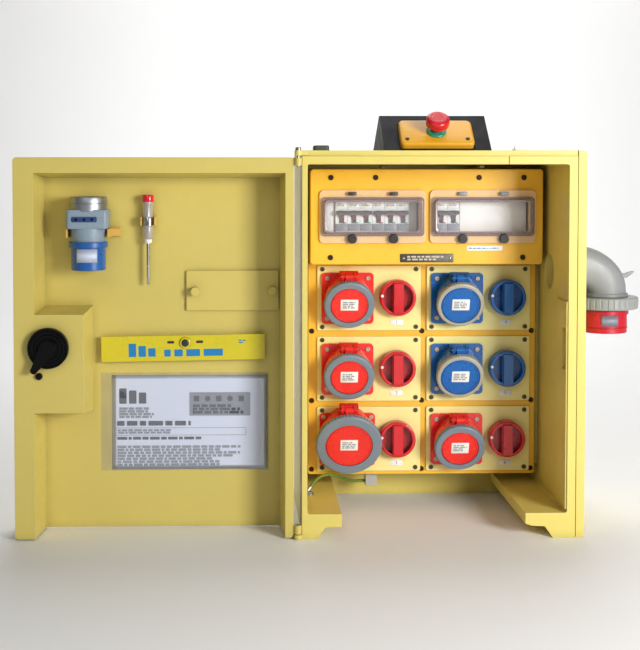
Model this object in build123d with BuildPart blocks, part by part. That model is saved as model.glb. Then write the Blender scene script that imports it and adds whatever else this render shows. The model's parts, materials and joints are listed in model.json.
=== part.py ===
"""Portable power distribution box: open cabinet, side-hung door, sockets, switches, breakers.

Millimetres, +Z up, +X to the right seen from the front, front faces -Y.
The origin is on the floor, on the centre line, inside the rear base rail.
"""
import os
from math import cos, radians, sin

from build123d import *

os.makedirs("parts", exist_ok=True)

# ---------------------------------------------------------------- driving dimensions
CAB_HALF_W = 197.5            # half the cabinet's outer width
CAB_H = 540.0                 # cabinet height
RIM_Y = -245.0                # plane of the front rim
REAR_Y = 10.0                 # rear outer face
BACK_Y = -2.0                 # inner face of the back wall
LEFT_IN, RIGHT_IN = -190.0, 172.5   # inner faces of the side walls
CEILING_Z = 521.0
LEDGE_Z, LEDGE_T = 35.0, 18.0       # floor ledges at both sides of the cable opening
OPEN_X0, OPEN_X1 = -142.0, 114.5    # cable opening in the floor

PIVOT_X = -203.0              # door hinge axis, in the rim plane
DOOR_X0, DOOR_X1 = -594.5, -209.0
DOOR_Z0, DOOR_Z1 = 2.0, 530.5
DOOR_RIM_Y = RIM_Y + 0.5      # the door's rim stops short of the cabinet's rim
DOOR_RECESS = 60.5
DOOR_SKIN = 6.5
DRAFT = 6.5                   # how far the recess narrows over its depth
FLOOR_Y = DOOR_RIM_Y + DOOR_RECESS  # inner face of the door's skin
DOOR_OUT_Y = FLOOR_Y + DOOR_SKIN

FRAME_X0, FRAME_X1 = -180.0, 165.0
FRAME_Z0, FRAME_Z1 = 50.5, 373.0
FRAME_Y, FRAME_T = -80.0, 12.0      # front face and thickness of the lower frame
MODULE_Z0, MODULE_Z1 = 373.5, 514.5
MODULE_Y = -127.0             # front face of the breaker cover
SEAT_Y = FRAME_Y + FRAME_T    # both panels seat on the cabinet's ribs here

COLUMN_X = (-88.0, 78.0)
ROW_Z = (319.5, 212.0, 105.0)
PLATE_W, PLATE_H, PLATE_T = 157.0, 98.0, 3.0
PLATE_Y = FRAME_Y - PLATE_T
PLATE_SCREW = (142.0, 87.5)
SOCKET_DX = -33.0             # socket centre from the plate's centre
SWITCH_DX, SWITCH_DZ = 42.0, 1.5
TILT = 20.0                   # the sockets point down by this angle

WINDOW_X = (-88.0, 75.0)
WINDOW_Z, WINDOW_W, WINDOW_H = 444.5, 151.0, 57.0
WINDOW_HINGE_Z = 478.3
KNOB_Z, KNOB_DX = 411.8, 30.5
POLE = 18.3                   # breaker pole pitch

INLET_X, INLET_Y = 253.7, -135.0
ESTOP_FRONT_Y, ESTOP_TOP_Y, ESTOP_TOP_Z = -200.0, -142.0, 592.0

# socket kinds: flange size and inset of its screws; radii of the ring, the lid's disc, the collar,
# the tube, the rear housing, the plug's bore and the contact insert; depth of the bore; number of
# contacts; drop of the mouth below the row's centre
RED_16 = dict(flange=(78.5, 77.5), inset=8.5, ring=37.7, disc=28.0, collar=35.5, tube=32.0,
              rear=36.0, bore=27.0, depth=30.0, insert=20.5, pins=5, drop=5.0)
BLUE_16 = dict(flange=(78.5, 76.5), inset=8.5, ring=35.3, disc=29.2, collar=33.5, tube=31.0,
               rear=36.0, bore=26.0, depth=30.0, insert=19.5, pins=3, drop=5.0)
RED_32 = dict(flange=(84.0, 80.0), inset=6.2, ring=49.5, disc=35.0, collar=45.5, tube=38.0,
              rear=42.0, bore=33.5, depth=26.0, insert=26.5, pins=5, drop=0.0)
SOCKETS = (  # number, column, row, kind
    (1, 0, 0, RED_16), (2, 0, 1, RED_16), (3, 0, 2, RED_32),
    (4, 1, 0, BLUE_16), (5, 1, 1, BLUE_16), (6, 1, 2, RED_16),
)
MOUTH_Y = PLATE_Y - 28.0      # centre of every socket's mouth


def facing(y):
    """Vertical plane at depth y whose normal points to the front."""
    return Plane.XZ.offset(-y)


def mouth(column, row, kind):
    """Plane of a socket's mouth: local z points out along the socket's axis, local y up."""
    centre = (COLUMN_X[column] + SOCKET_DX, MOUTH_Y, ROW_Z[row] - kind["drop"])
    normal = (0, -cos(radians(TILT)), -sin(radians(TILT)))
    return Plane(origin=centre, x_dir=(1, 0, 0), z_dir=normal)


def save(part, name):
    part.part.label = name
    export_step(part.part, f"parts/{name}.step")


def grid(xs, zs):
    return [(x, z) for x in xs for z in zs]


plate_screws = [(x + sx * PLATE_SCREW[0] / 2, z + sz * PLATE_SCREW[1] / 2)
                for x in COLUMN_X for z in ROW_Z for sx in (-1, 1) for sz in (-1, 1)]
frame_screws = grid((-175.0, -7.5, 160.0), (269.0, 163.0, 58.0))
module_screws = [(x, 502.0) for x in (-149.5, -83.5, 69.5, 136.0)] + [(x, 384.0) for x in (-150.0, 135.0)]


def flange_screws(column, row, kind):
    width, height = kind["flange"]
    x, z = COLUMN_X[column] + SOCKET_DX, ROW_Z[row]
    dx, dz = width / 2 - kind["inset"], height / 2 - kind["inset"]
    return [(x + sx * dx, z + sz * dz) for sx in (-1, 1) for sz in (-1, 1)]


socket_screws = [p for number, column, row, kind in SOCKETS for p in flange_screws(column, row, kind)]
switches = [(COLUMN_X[column] + SWITCH_DX, ROW_Z[row] + SWITCH_DZ) for number, column, row, kind in SOCKETS]
SHANK_R, SHANK_HOLE_R = 1.5, 1.7

# ---------------------------------------------------------------- cabinet
EARTH_SCREW = (-180.8, -139.0)      # screw of the earth lug, on the left ledge
STRIKE = (176.0, -230.5, 263.0)     # pocket in the right wall that the latch cam turns into
with BuildPart() as cabinet:
    with BuildSketch(facing(RIM_Y)):
        with Locations((0, CAB_H / 2)):
            Rectangle(2 * CAB_HALF_W, CAB_H)
    extrude(amount=RIM_Y - REAR_Y)
    fillet(cabinet.edges().filter_by(Axis.Y).group_by(Axis.Z)[-1], 6)
    with BuildSketch(facing(RIM_Y)):
        with Locations(((LEFT_IN + RIGHT_IN) / 2, (LEDGE_Z + CEILING_Z) / 2)):
            RectangleRounded(RIGHT_IN - LEFT_IN, CEILING_Z - LEDGE_Z, 3)
    extrude(amount=RIM_Y - BACK_Y, mode=Mode.SUBTRACT)
    # cable opening and the shaped undersides of the two feet
    with BuildSketch(facing(RIM_Y)):
        with BuildLine():
            Polyline((OPEN_X0, LEDGE_Z + 1), (OPEN_X0, LEDGE_Z - LEDGE_T), (-151, LEDGE_Z - LEDGE_T),
                     (-165, 16), (-176, 0), (-176, -5), (153, -5), (153, 0), (142, 16),
                     (123, LEDGE_Z - LEDGE_T), (OPEN_X1, LEDGE_Z - LEDGE_T + 3), (OPEN_X1, LEDGE_Z + 1),
                     close=True)
        make_face()
    extrude(amount=RIM_Y - BACK_Y, mode=Mode.SUBTRACT)
    # weather groove in the rim, outer strip set back from the inner lip
    with BuildSketch(facing(RIM_Y)):
        with Locations((0, CAB_H / 2)):
            Rectangle(2 * CAB_HALF_W + 2, CAB_H + 2)
        with Locations((-6.0, 265)):
            Rectangle(2 * 191.5, 2 * 267.0, mode=Mode.SUBTRACT)
    extrude(amount=-2.5, mode=Mode.SUBTRACT)
    with BuildSketch(facing(RIM_Y)):
        with Locations((184.9, CAB_H / 2)):
            Rectangle(1.6, CAB_H + 2)
    extrude(amount=-6, mode=Mode.SUBTRACT)
    # notch in the top rim below the emergency stop
    with BuildSketch(facing(RIM_Y)):
        with Locations((-13.3, 531)):
            Rectangle(204.5, 22)
    extrude(amount=-1.2, mode=Mode.SUBTRACT)
    # ribs that carry the two panels
    for x0, x1 in ((LEFT_IN - 1, -178.0), (163.0, RIGHT_IN + 1)):
        with Locations(((x0 + x1) / 2, (SEAT_Y + BACK_Y + 1) / 2, 282)):
            Box(x1 - x0, BACK_Y + 1 - SEAT_Y, 440)
    # raised strip along the lower part of the right wall
    with Locations((171.5, RIM_Y + 30, 185)):
        Box(3, 56, 290)
    # pocket for the latch cam
    with Locations(STRIKE):
        Box(18, 18, 58, mode=Mode.SUBTRACT)
    # hinge lugs at top and bottom
    for z0, z1 in ((0.0, 7.0), (533.0, 540.0)):
        with BuildSketch(Plane.XY.offset(z0)):
            with Locations((PIVOT_X, RIM_Y)):
                Circle(5.4)
            with Locations(((PIVOT_X - 190) / 2, RIM_Y + 3)):
                Rectangle(-190 - PIVOT_X, 6)
        extrude(amount=z1 - z0)
    with Locations((PIVOT_X, RIM_Y, CAB_H / 2)):
        Cylinder(2, CAB_H + 10, mode=Mode.SUBTRACT)
    # holes: earth screw, inlet flange, emergency stop bracket, wall fixings
    with BuildSketch(Plane.XY.offset(LEDGE_Z)):
        with Locations(EARTH_SCREW):
            Circle(2.2)
    extrude(amount=-11, mode=Mode.SUBTRACT)
    with BuildSketch(Plane.YZ.offset(RIGHT_IN - 5)):
        with Locations((INLET_Y, 364)):
            Circle(26)
    extrude(amount=35, mode=Mode.SUBTRACT)
    with BuildSketch(Plane.XY.offset(CEILING_Z - 5)):
        with Locations((-74, -140), (70, -140)):
            Circle(2.7)
        with Locations((-2, -125)):
            Circle(8)
    extrude(amount=30, mode=Mode.SUBTRACT)
    with BuildSketch(facing(BACK_Y - 2)):
        with Locations((-150, 90), (150, 90), (-150, 470), (150, 470)):
            Circle(4)
    extrude(amount=-(REAR_Y - BACK_Y + 4), mode=Mode.SUBTRACT)
save(cabinet, "cabinet")

# ---------------------------------------------------------------- hinge pins
with BuildPart() as hinge_pins:
    for z0, z1 in ((0.3, 21.5), (517.0, 543.5)):
        with BuildSketch(Plane.XY.offset(z0)):
            with Locations((PIVOT_X, RIM_Y)):
                Circle(2)
        extrude(amount=z1 - z0)
    with BuildSketch(Plane.XY.offset(540.0)):
        with Locations((PIVOT_X, RIM_Y)):
            Circle(4)
    extrude(amount=4.5)
    fillet(hinge_pins.edges().filter_by(GeomType.CIRCLE).group_by(Axis.Z)[-1], 1.5)
save(hinge_pins, "hinge_pins")

# ---------------------------------------------------------------- lower frame and plates
with BuildPart() as panel_frame:
    with BuildSketch(facing(SEAT_Y)):
        with Locations(((FRAME_X0 + FRAME_X1) / 2, (FRAME_Z0 + FRAME_Z1) / 2)):
            RectangleRounded(FRAME_X1 - FRAME_X0, FRAME_Z1 - FRAME_Z0, 3)
        with Locations(*grid(COLUMN_X, ROW_Z)):
            RectangleRounded(PLATE_W - 27, PLATE_H - 9, 4, mode=Mode.SUBTRACT)
        for number, column, row, kind in SOCKETS:
            with Locations((COLUMN_X[column] + SOCKET_DX, ROW_Z[row])):
                Circle(kind["rear"] + 0.5, mode=Mode.SUBTRACT)
        with Locations(*frame_screws, *plate_screws):
            Circle(SHANK_HOLE_R, mode=Mode.SUBTRACT)
    extrude(amount=FRAME_T)
    # countersunk seats round the frame's own screws
    with BuildSketch(facing(FRAME_Y)):
        with Locations(*frame_screws):
            Circle(4.2)
    extrude(amount=-3, mode=Mode.SUBTRACT)
save(panel_frame, "panel_frame")

with BuildPart() as socket_plates:
    with BuildSketch(facing(FRAME_Y)):
        with Locations(*grid(COLUMN_X, ROW_Z)):
            RectangleRounded(PLATE_W, PLATE_H, 3)
        with Locations(*plate_screws, *socket_screws):
            Circle(SHANK_HOLE_R, mode=Mode.SUBTRACT)
        with Locations(*switches):
            Circle(6, mode=Mode.SUBTRACT)
    extrude(amount=PLATE_T)
    for number, column, row, kind in SOCKETS:
        with BuildSketch(facing(FRAME_Y)):
            with Locations((COLUMN_X[column] + SOCKET_DX, ROW_Z[row])):
                Circle(kind["rear"] + 0.3)
        extrude(amount=PLATE_T, mode=Mode.SUBTRACT)
    chamfer(socket_plates.faces().group_by(Axis.Y)[0].edges().group_by(Edge.length)[-1], 0.8)
save(socket_plates, "socket_plates")

# ---------------------------------------------------------------- breaker cover and windows
with BuildPart() as breaker_cover:
    module_x, module_z = (FRAME_X0 + FRAME_X1) / 2, (MODULE_Z0 + MODULE_Z1) / 2
    with BuildSketch(facing(SEAT_Y)):
        with Locations((module_x, module_z)):
            RectangleRounded(FRAME_X1 - FRAME_X0, MODULE_Z1 - MODULE_Z0, 5)
    extrude(amount=SEAT_Y - MODULE_Y)
    fillet(breaker_cover.faces().sort_by(Axis.Y)[0].edges(), 2)
    with BuildSketch(facing(SEAT_Y)):
        with Locations((module_x, module_z)):
            Rectangle(FRAME_X1 - FRAME_X0 - 8, MODULE_Z1 - MODULE_Z0 - 8)
    extrude(amount=SEAT_Y - MODULE_Y - 4, mode=Mode.SUBTRACT)
    with BuildSketch(facing(SEAT_Y)):
        with Locations(*[(x, WINDOW_Z) for x in WINDOW_X]):
            Rectangle(137, 46)
        with Locations(*module_screws):
            Circle(SHANK_HOLE_R)
        with Locations(*[(x + s * KNOB_DX, KNOB_Z) for x in WINDOW_X for s in (-1, 1)]):
            Circle(3.5)
    extrude(amount=SEAT_Y - MODULE_Y + 5, mode=Mode.SUBTRACT)
save(breaker_cover, "breaker_cover")

BEZEL_T = 3.5
BEZEL_Y = MODULE_Y - BEZEL_T
with BuildPart() as window_bezels:
    with BuildSketch(facing(MODULE_Y)):
        with Locations(*[(x, 444.3) for x in WINDOW_X]):
            RectangleRounded(157.5, 78.5, 7)
        with Locations(*[(x, WINDOW_Z) for x in WINDOW_X]):
            RectangleRounded(137, 46, 2, mode=Mode.SUBTRACT)
        with Locations(*[(x + s * KNOB_DX, KNOB_Z) for x in WINDOW_X for s in (-1, 1)]):
            Circle(3.5, mode=Mode.SUBTRACT)
    extrude(amount=BEZEL_T)
    chamfer(window_bezels.faces().sort_by(Axis.Y)[:2].edges().filter_by(GeomType.LINE), 0.6)
    # hinge posts and pins, two for each window
    for x in WINDOW_X:
        for s in (-1, 1):
            for t in (-1, 1):
                with Locations((x + s * KNOB_DX + t * 4.6, BEZEL_Y - 2.9, WINDOW_HINGE_Z)):
                    Box(1.8, 6.2, 5.5)
            with Locations((x + s * KNOB_DX, BEZEL_Y - 3, WINDOW_HINGE_Z)):
                Cylinder(1.0, 10, rotation=(0, 90, 0))
save(window_bezels, "window_bezels")


def window(x, name):
    """Clear cover: a shallow tray with two hinge eyes above and two knob tabs below."""
    with BuildPart() as cover:
        back = facing(BEZEL_Y - 0.3)
        with BuildSketch(back):
            with Locations((x, WINDOW_Z)):
                RectangleRounded(WINDOW_W, WINDOW_H, 5)
            with Locations((x - KNOB_DX, KNOB_Z), (x + KNOB_DX, KNOB_Z)):
                RectangleRounded(18, 13.4, 3)
            with Locations((x - KNOB_DX, KNOB_Z), (x + KNOB_DX, KNOB_Z)):
                Circle(2.7, mode=Mode.SUBTRACT)
        extrude(amount=2)
        with BuildSketch(back):
            with Locations((x, WINDOW_Z)):
                RectangleRounded(WINDOW_W - 9, WINDOW_H - 9, 5)
        extrude(amount=9, taper=12)
        with BuildSketch(back):
            with Locations((x, WINDOW_Z)):
                RectangleRounded(WINDOW_W - 13, WINDOW_H - 13, 4)
        extrude(amount=7, taper=12, mode=Mode.SUBTRACT)
        for s in (-1, 1):
            with Locations((x + s * KNOB_DX, BEZEL_Y - 3, WINDOW_HINGE_Z)):
                Cylinder(2.6, 7, rotation=(0, 90, 0))
            with Locations((x + s * KNOB_DX, BEZEL_Y - 1.6 - 0.2, WINDOW_HINGE_Z - 4)):
                Box(7, 2.6, 7)
            with Locations((x + s * KNOB_DX, BEZEL_Y - 3, WINDOW_HINGE_Z)):
                Cylinder(1.15, 20, rotation=(0, 90, 0), mode=Mode.SUBTRACT)
    save(cover, name)


window(WINDOW_X[0], "window_left")
window(WINDOW_X[1], "window_right")

KNOB_BACK_Y = BEZEL_Y - 0.3 - 2 - 0.3
for i, (x, s) in enumerate([(x, s) for x in WINDOW_X for s in (-1, 1)]):
    with BuildPart() as knob:
        with BuildSketch(facing(KNOB_BACK_Y)):
            with Locations((x + s * KNOB_DX, KNOB_Z)):
                Circle(6.9)
        extrude(amount=4)
        fillet(knob.edges().filter_by(GeomType.CIRCLE).group_by(Axis.Y)[0], 1)
        with Locations((x + s * KNOB_DX, KNOB_BACK_Y - 5.2, KNOB_Z)):
            Box(11.5, 3, 3)
        with BuildSketch(facing(KNOB_BACK_Y)):
            with Locations((x + s * KNOB_DX, KNOB_Z)):
                Circle(2.4)
        extrude(amount=-5)
    save(knob, f"window_knob_{i + 1}")

# ---------------------------------------------------------------- breakers and toggles
NOSE_Y, PIVOT_Y, PIVOT_Z = -114.0, -108.2, 443.5
RAIL_Y = -50.0
LEFT_POLES = [-87.0 + POLE * (i - 2.5) for i in range(6)]
RIGHT_POLES = [15.5, 15.5 + POLE]
with BuildPart() as breakers:
    for x in LEFT_POLES + RIGHT_POLES:
        with BuildSketch(Plane.YZ.offset(x - 9)):
            with BuildLine():
                Polyline((RAIL_Y, 402), (-94, 402), (-94, 421.5), (NOSE_Y, 421.5), (NOSE_Y, 466.5),
                         (-94, 466.5), (-94, 487), (RAIL_Y, 487), close=True)
            make_face()
        extrude(amount=18)
        with Locations((x, NOSE_Y + 4, PIVOT_Z)):
            Box(7.4, 18, 19, mode=Mode.SUBTRACT)
save(breakers, "breakers")


def toggle(poles, name):
    """Levers of the linked poles, joined by a tie bar in front of the breaker noses."""
    with BuildPart() as lever:
        for x in poles:
            with BuildSketch(Plane.YZ.offset(x - 3.2)):
                with Locations((PIVOT_Y, PIVOT_Z)):
                    Circle(5.3)
                with Locations(Location((PIVOT_Y, PIVOT_Z), 0)):
                    with BuildLine():
                        a = radians(20)
                        tip = (PIVOT_Y - 14.5 * cos(a), PIVOT_Z + 14.5 * sin(a))
                        Polyline((PIVOT_Y - 1.4, PIVOT_Z + 4.6), (tip[0] + 0.6, tip[1] + 1.8),
                                 (tip[0] - 0.8, tip[1] - 1.8), (PIVOT_Y - 3.8, PIVOT_Z - 3.0), close=True)
                    make_face()
            extrude(amount=6.4)
        a = radians(20)
        centre = (PIVOT_Y - 12.3 * cos(a), PIVOT_Z + 12.3 * sin(a))
        with BuildSketch(Plane.YZ.offset(poles[0] - 5)):
            with Locations(centre):
                Circle(1.6)
        extrude(amount=poles[-1] - poles[0] + 10)
    save(lever, name)


toggle(LEFT_POLES[:3], "breaker_toggle_1")
toggle(LEFT_POLES[3:], "breaker_toggle_2")
toggle(RIGHT_POLES, "breaker_toggle_3")

# ---------------------------------------------------------------- equipment behind the panels
SWITCH_BODY = 46.0
with BuildPart() as internal_switchgear:
    for x, z in switches:
        with Locations((x, (FRAME_Y - 22) / 2, z)):
            Box(SWITCH_BODY, -22 - FRAME_Y, SWITCH_BODY)
        with Locations((x, FRAME_Y, z)):
            Cylinder(4.6, 60, rotation=(90, 0, 0), mode=Mode.SUBTRACT)
    # mounting rail behind the breakers, on two feet
    with Locations((-7.5, RAIL_Y + 4, 444.5)):
        Box(310, 8, 35)
    for x in (-140, 125):
        with Locations((x, (RAIL_Y + 8 + BACK_Y) / 2, 444.5)):
            Box(24, BACK_Y - RAIL_Y - 8, 30)
    # earth terminal block, fixed to the back of the frame
    with Locations((-82.5, -58, 45)):
        Box(17, 20, 32)
    with Locations((-82.5, -58, 35), (-82.5, -58, 46)):
        Cylinder(2.6, 40, rotation=(0, 90, 0), mode=Mode.SUBTRACT)
save(internal_switchgear, "internal_switchgear")

# ---------------------------------------------------------------- rotary switch handles
HANDLE_R, HANDLE_BACK, HANDLE_FRONT = 27.2, PLATE_Y - 1.0, -105.0
GRIP_W = 17.0                 # width of the grip bar at its foot
for (number, column, row, kind), (x, z) in zip(SOCKETS, switches):
    with BuildPart() as handle:
        with BuildSketch(facing(HANDLE_BACK)):
            with Locations((x, z)):
                Circle(HANDLE_R)
        extrude(amount=HANDLE_BACK - HANDLE_FRONT - 4)
        fillet(handle.edges().filter_by(GeomType.CIRCLE).group_by(Axis.Y)[0], 2.2)
        # dished pockets on both sides of the grip bar
        with BuildSketch(facing(HANDLE_FRONT + 2)):
            with Locations((x, z)):
                Circle(22.5)
            with Locations((x, z)):
                Rectangle(GRIP_W, 60, mode=Mode.SUBTRACT)
        extrude(amount=-14, mode=Mode.SUBTRACT)
        with BuildSketch(facing(HANDLE_FRONT + 10)):
            with Locations((x, z)):
                Rectangle(GRIP_W - 0.2, 47)
        extrude(amount=10, taper=9)
        with BuildSketch(facing(HANDLE_BACK)):
            with Locations((x, z)):
                Circle(4.2)
        extrude(amount=-26)
    save(handle, f"switch_handle_{number}")

# ---------------------------------------------------------------- sockets, lids and locking rings
TUBE_BACK, REAR_DEPTH = -48.0, 14.0
HINGE_AX, HINGE_UP = -6.0, 2.6
LID_FACE = 8.0
with BuildPart() as socket_contacts:
    for number, column, row, kind in SOCKETS:
        at = mouth(column, row, kind)
        with BuildSketch(at.offset(-kind["depth"])):
            Circle(kind["insert"])
            with PolarLocations(kind["insert"] * 0.62, kind["pins"], start_angle=-90):
                Circle(2.9, mode=Mode.SUBTRACT)
            with Locations((0, -kind["insert"])):
                Rectangle(4, 4, mode=Mode.SUBTRACT)
        extrude(amount=kind["depth"] - 6)
save(socket_contacts, "socket_contacts")

for number, column, row, kind in SOCKETS:
    at = mouth(column, row, kind)
    hinge_y = kind["ring"] + HINGE_UP
    width, height = kind["flange"]
    flange_at = (COLUMN_X[column] + SOCKET_DX, ROW_Z[row])
    with BuildPart() as socket:
        with BuildSketch(at.offset(TUBE_BACK)):
            Circle(kind["tube"])
        extrude(amount=-TUBE_BACK - 3.4)
        with Locations((flange_at[0], PLATE_Y + 40, flange_at[1])):
            Box(120, 80, 120, mode=Mode.SUBTRACT)
        with BuildSketch(facing(PLATE_Y)):
            with Locations(flange_at):
                Circle(kind["rear"])
        extrude(amount=-REAR_DEPTH)
        with BuildSketch(facing(PLATE_Y)):
            with Locations(flange_at):
                RectangleRounded(width, height, 6)
        extrude(amount=4)
        with BuildSketch(at.offset(-14)):
            Circle(kind["collar"])
        extrude(amount=14 - 3.4)
        # hinge tab on top of the flange, with a lug each side of the lid's eye
        with BuildSketch(at.offset(-24)):
            with Locations((0, hinge_y - 4.5)):
                Rectangle(28, 13)
        extrude(amount=12)
        for s in (-1, 1):
            with BuildSketch(at.offset(-16)):
                with Locations((s * 9.3, hinge_y - 2)):
                    Rectangle(5, 11)
            extrude(amount=12.4)
        with Locations(at * Location((0, hinge_y, HINGE_AX), (0, 90, 0))):
            Cylinder(1.7, 23)
        # bore for the plug
        with BuildSketch(at.offset(-kind["depth"])):
            Circle(kind["bore"])
        extrude(amount=kind["depth"] + 5, mode=Mode.SUBTRACT)
        with BuildSketch(facing(PLATE_Y)):
            with Locations(*flange_screws(column, row, kind)):
                Circle(SHANK_HOLE_R)
        extrude(amount=4.5, mode=Mode.SUBTRACT)
    save(socket, f"socket_{number}")

    with BuildPart() as lid:
        with BuildSketch(at.offset(-3)):
            Circle(kind["ring"] - 1.4)
        extrude(amount=3)
        with BuildSketch(at):
            Circle(kind["disc"])
        extrude(amount=LID_FACE)
        fillet(lid.edges().filter_by(GeomType.CIRCLE).sort_by(Axis.Y)[0], 0.8)
        # lip that keeps the ring on the lid
        with BuildSketch(at.offset(LID_FACE - 2.2)):
            Circle(kind["disc"] + 0.9)
        extrude(amount=1.2)
        # eye and arm of the hinge
        with Locations(at * Location((0, hinge_y, HINGE_AX), (0, 90, 0))):
            Cylinder(4, 12.4)
        with BuildSketch(at.offset(-3)):
            with Locations((0, hinge_y - 7)):
                Rectangle(12.4, 14)
        extrude(amount=2.8)
        with Locations(at * Location((0, hinge_y, HINGE_AX), (0, 90, 0))):
            Cylinder(2, 30, mode=Mode.SUBTRACT)
        # hollow underside
        with BuildSketch(at.offset(-3)):
            Circle(kind["disc"] - 3)
        extrude(amount=LID_FACE - 0.5, mode=Mode.SUBTRACT)
    save(lid, f"socket_lid_{number}")

    with BuildPart() as ring:
        with BuildSketch(at.offset(0.3)):
            Circle(kind["ring"])
            Circle(kind["disc"] + 0.35, mode=Mode.SUBTRACT)
        extrude(amount=LID_FACE + 0.7)
        fillet(ring.faces().sort_by(Axis.Y)[0].edges().sort_by(Edge.length)[-1], 3)
        # counterbore over the lid's lip
        with BuildSketch(at.offset(LID_FACE - 2.5)):
            Circle(kind["disc"] + 1.25)
        extrude(amount=1.8, mode=Mode.SUBTRACT)
        # grip notches round the edge
        with BuildSketch(at.offset(0.3)):
            with PolarLocations(kind["ring"] + 0.35, 56):
                Circle(1.15)
        extrude(amount=6.5, mode=Mode.SUBTRACT)
    save(ring, f"socket_ring_{number}")

# ---------------------------------------------------------------- panel screws
with BuildPart() as panel_screws:
    heads = [(FRAME_Y + 3, frame_screws, 3.6), (PLATE_Y, plate_screws, 3.4),
             (PLATE_Y - 4, socket_screws, 3.6), (MODULE_Y, module_screws, 4.0)]
    for y, points, radius in heads:
        with BuildSketch(facing(y)):
            with Locations(*points):
                Circle(radius)
        extrude(amount=2)
        with BuildSketch(facing(y + 6)):
            with Locations(*points):
                Circle(SHANK_R)
        extrude(amount=6)
save(panel_screws, "panel_screws")

# ---------------------------------------------------------------- earth wire
WIRE_R = 2.3
WIRE_POINTS = [
    (-179.0, -127.0, 43.0), (-171.0, -121.0, 52.0), (-160.0, -112.5, 57.0), (-147.5, -102.5, 56.0),
    (-134.5, -91.5, 49.5), (-122.0, -80.0, 42.0), (-111.5, -69.0, 37.0), (-101.0, -60.8, 35.3),
    (-90.8, -58.0, 35.0),
]
vectors = [Vector(*p) for p in WIRE_POINTS]
wire_radii = []
for before, here, after in zip(vectors, vectors[1:], vectors[2:]):
    turn = (here - before).get_angle(after - here)
    run = min((here - before).length, (after - here).length)
    wire_radii.append(0.45 * run / (sin(radians(turn / 2)) / cos(radians(turn / 2))))
print("earth wire arc radii", [round(r, 1) for r in wire_radii])
with BuildPart() as earth_wire:
    with BuildLine() as route:
        FilletPolyline(*WIRE_POINTS, radius=wire_radii)
    with BuildSketch(Plane(origin=vectors[0], z_dir=vectors[1] - vectors[0])):
        Circle(WIRE_R)
    sweep()
wire_length = route.wires()[0].length
print("earth wire length", round(wire_length, 1), "volume ratio",
      round(earth_wire.part.volume / (3.14159265 * WIRE_R ** 2 * wire_length), 4))
save(earth_wire, "earth_wire")

# ring terminal with its screw, crimped on the start of the wire
with BuildPart() as earth_lug:
    with BuildSketch(Plane.XY.offset(LEDGE_Z)):
        with Locations(EARTH_SCREW):
            Circle(6)
        with Locations((EARTH_SCREW[0], EARTH_SCREW[1] + 5)):
            Rectangle(6.4, 10)
        with Locations(EARTH_SCREW):
            Circle(2.4, mode=Mode.SUBTRACT)
    extrude(amount=1.4)
    with BuildSketch(Plane(origin=vectors[0], z_dir=vectors[1] - vectors[0])):
        Circle(3.2)
    extrude(amount=-8)
    with Locations((EARTH_SCREW[0], EARTH_SCREW[1] + 8, LEDGE_Z - 5)):
        Box(30, 40, 10, mode=Mode.SUBTRACT)
    with BuildSketch(Plane.XY.offset(LEDGE_Z + 1.4)):
        with Locations(EARTH_SCREW):
            RegularPolygon(4.4, 6)
    extrude(amount=3)
    with BuildSketch(Plane.XY.offset(LEDGE_Z - 10)):
        with Locations(EARTH_SCREW):
            Circle(2)
    extrude(amount=12)
save(earth_lug, "earth_lug")

# ---------------------------------------------------------------- inlet on the right wall
with BuildPart() as inlet_housing:
    with BuildSketch(Plane.XZ.offset(-INLET_Y)):
        with BuildLine():
            Polyline((199, 331), (199, 397), (262, 389))
            ThreePointArc((262, 389), (277.5, 381), (284, 366))
            Polyline((284, 366), (284, 331), (199, 331))
        make_face()
    extrude(amount=33, both=True)
    side = [e for e in inlet_housing.edges().filter_by(Axis.Z) if e.center().X > 280]
    fillet(side, 22)
    with Locations((CAB_HALF_W + 2.5, INLET_Y, 360)):
        Box(5, 92, 92)
    # neck through the ring, and the shoulder above it
    with BuildSketch(Plane.XY.offset(308.0)):
        with Locations((INLET_X, INLET_Y)):
            Circle(30)
    extrude(amount=30)
    with BuildSketch(Plane.XY.offset(328.0)):
        with Locations((INLET_X, INLET_Y)):
            Circle(36)
    extrude(amount=5)
    # hook that keeps a lid or a lead
    with BuildSketch(Plane.XZ.offset(-INLET_Y)):
        with BuildLine():
            Polyline((282, 356), (297.5, 356), (297.5, 364.5), (294, 364.5), (294, 360), (282, 361.5),
                     close=True)
        make_face()
    extrude(amount=5, both=True)
    # wiring space from the cabinet into the hood
    with BuildSketch(Plane.YZ.offset(CAB_HALF_W)):
        with Locations((INLET_Y, 364)):
            Circle(24)
    extrude(amount=60, mode=Mode.SUBTRACT)
save(inlet_housing, "inlet_housing")

with BuildPart() as inlet_ring:
    with BuildSketch(Plane.XY.offset(310.0)):
        with Locations((INLET_X, INLET_Y)):
            Circle(49.3)
            Circle(31.0, mode=Mode.SUBTRACT)
    extrude(amount=17.5)
    fillet(inlet_ring.edges().filter_by(GeomType.CIRCLE).filter_by(lambda e: e.radius > 40), 3)
    with BuildSketch(Plane.XY.offset(310.0)):
        with Locations((INLET_X, INLET_Y)):
            with PolarLocations(50.0, 36):
                Circle(1.6)
    extrude(amount=17.5, mode=Mode.SUBTRACT)
save(inlet_ring, "inlet_ring")

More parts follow.
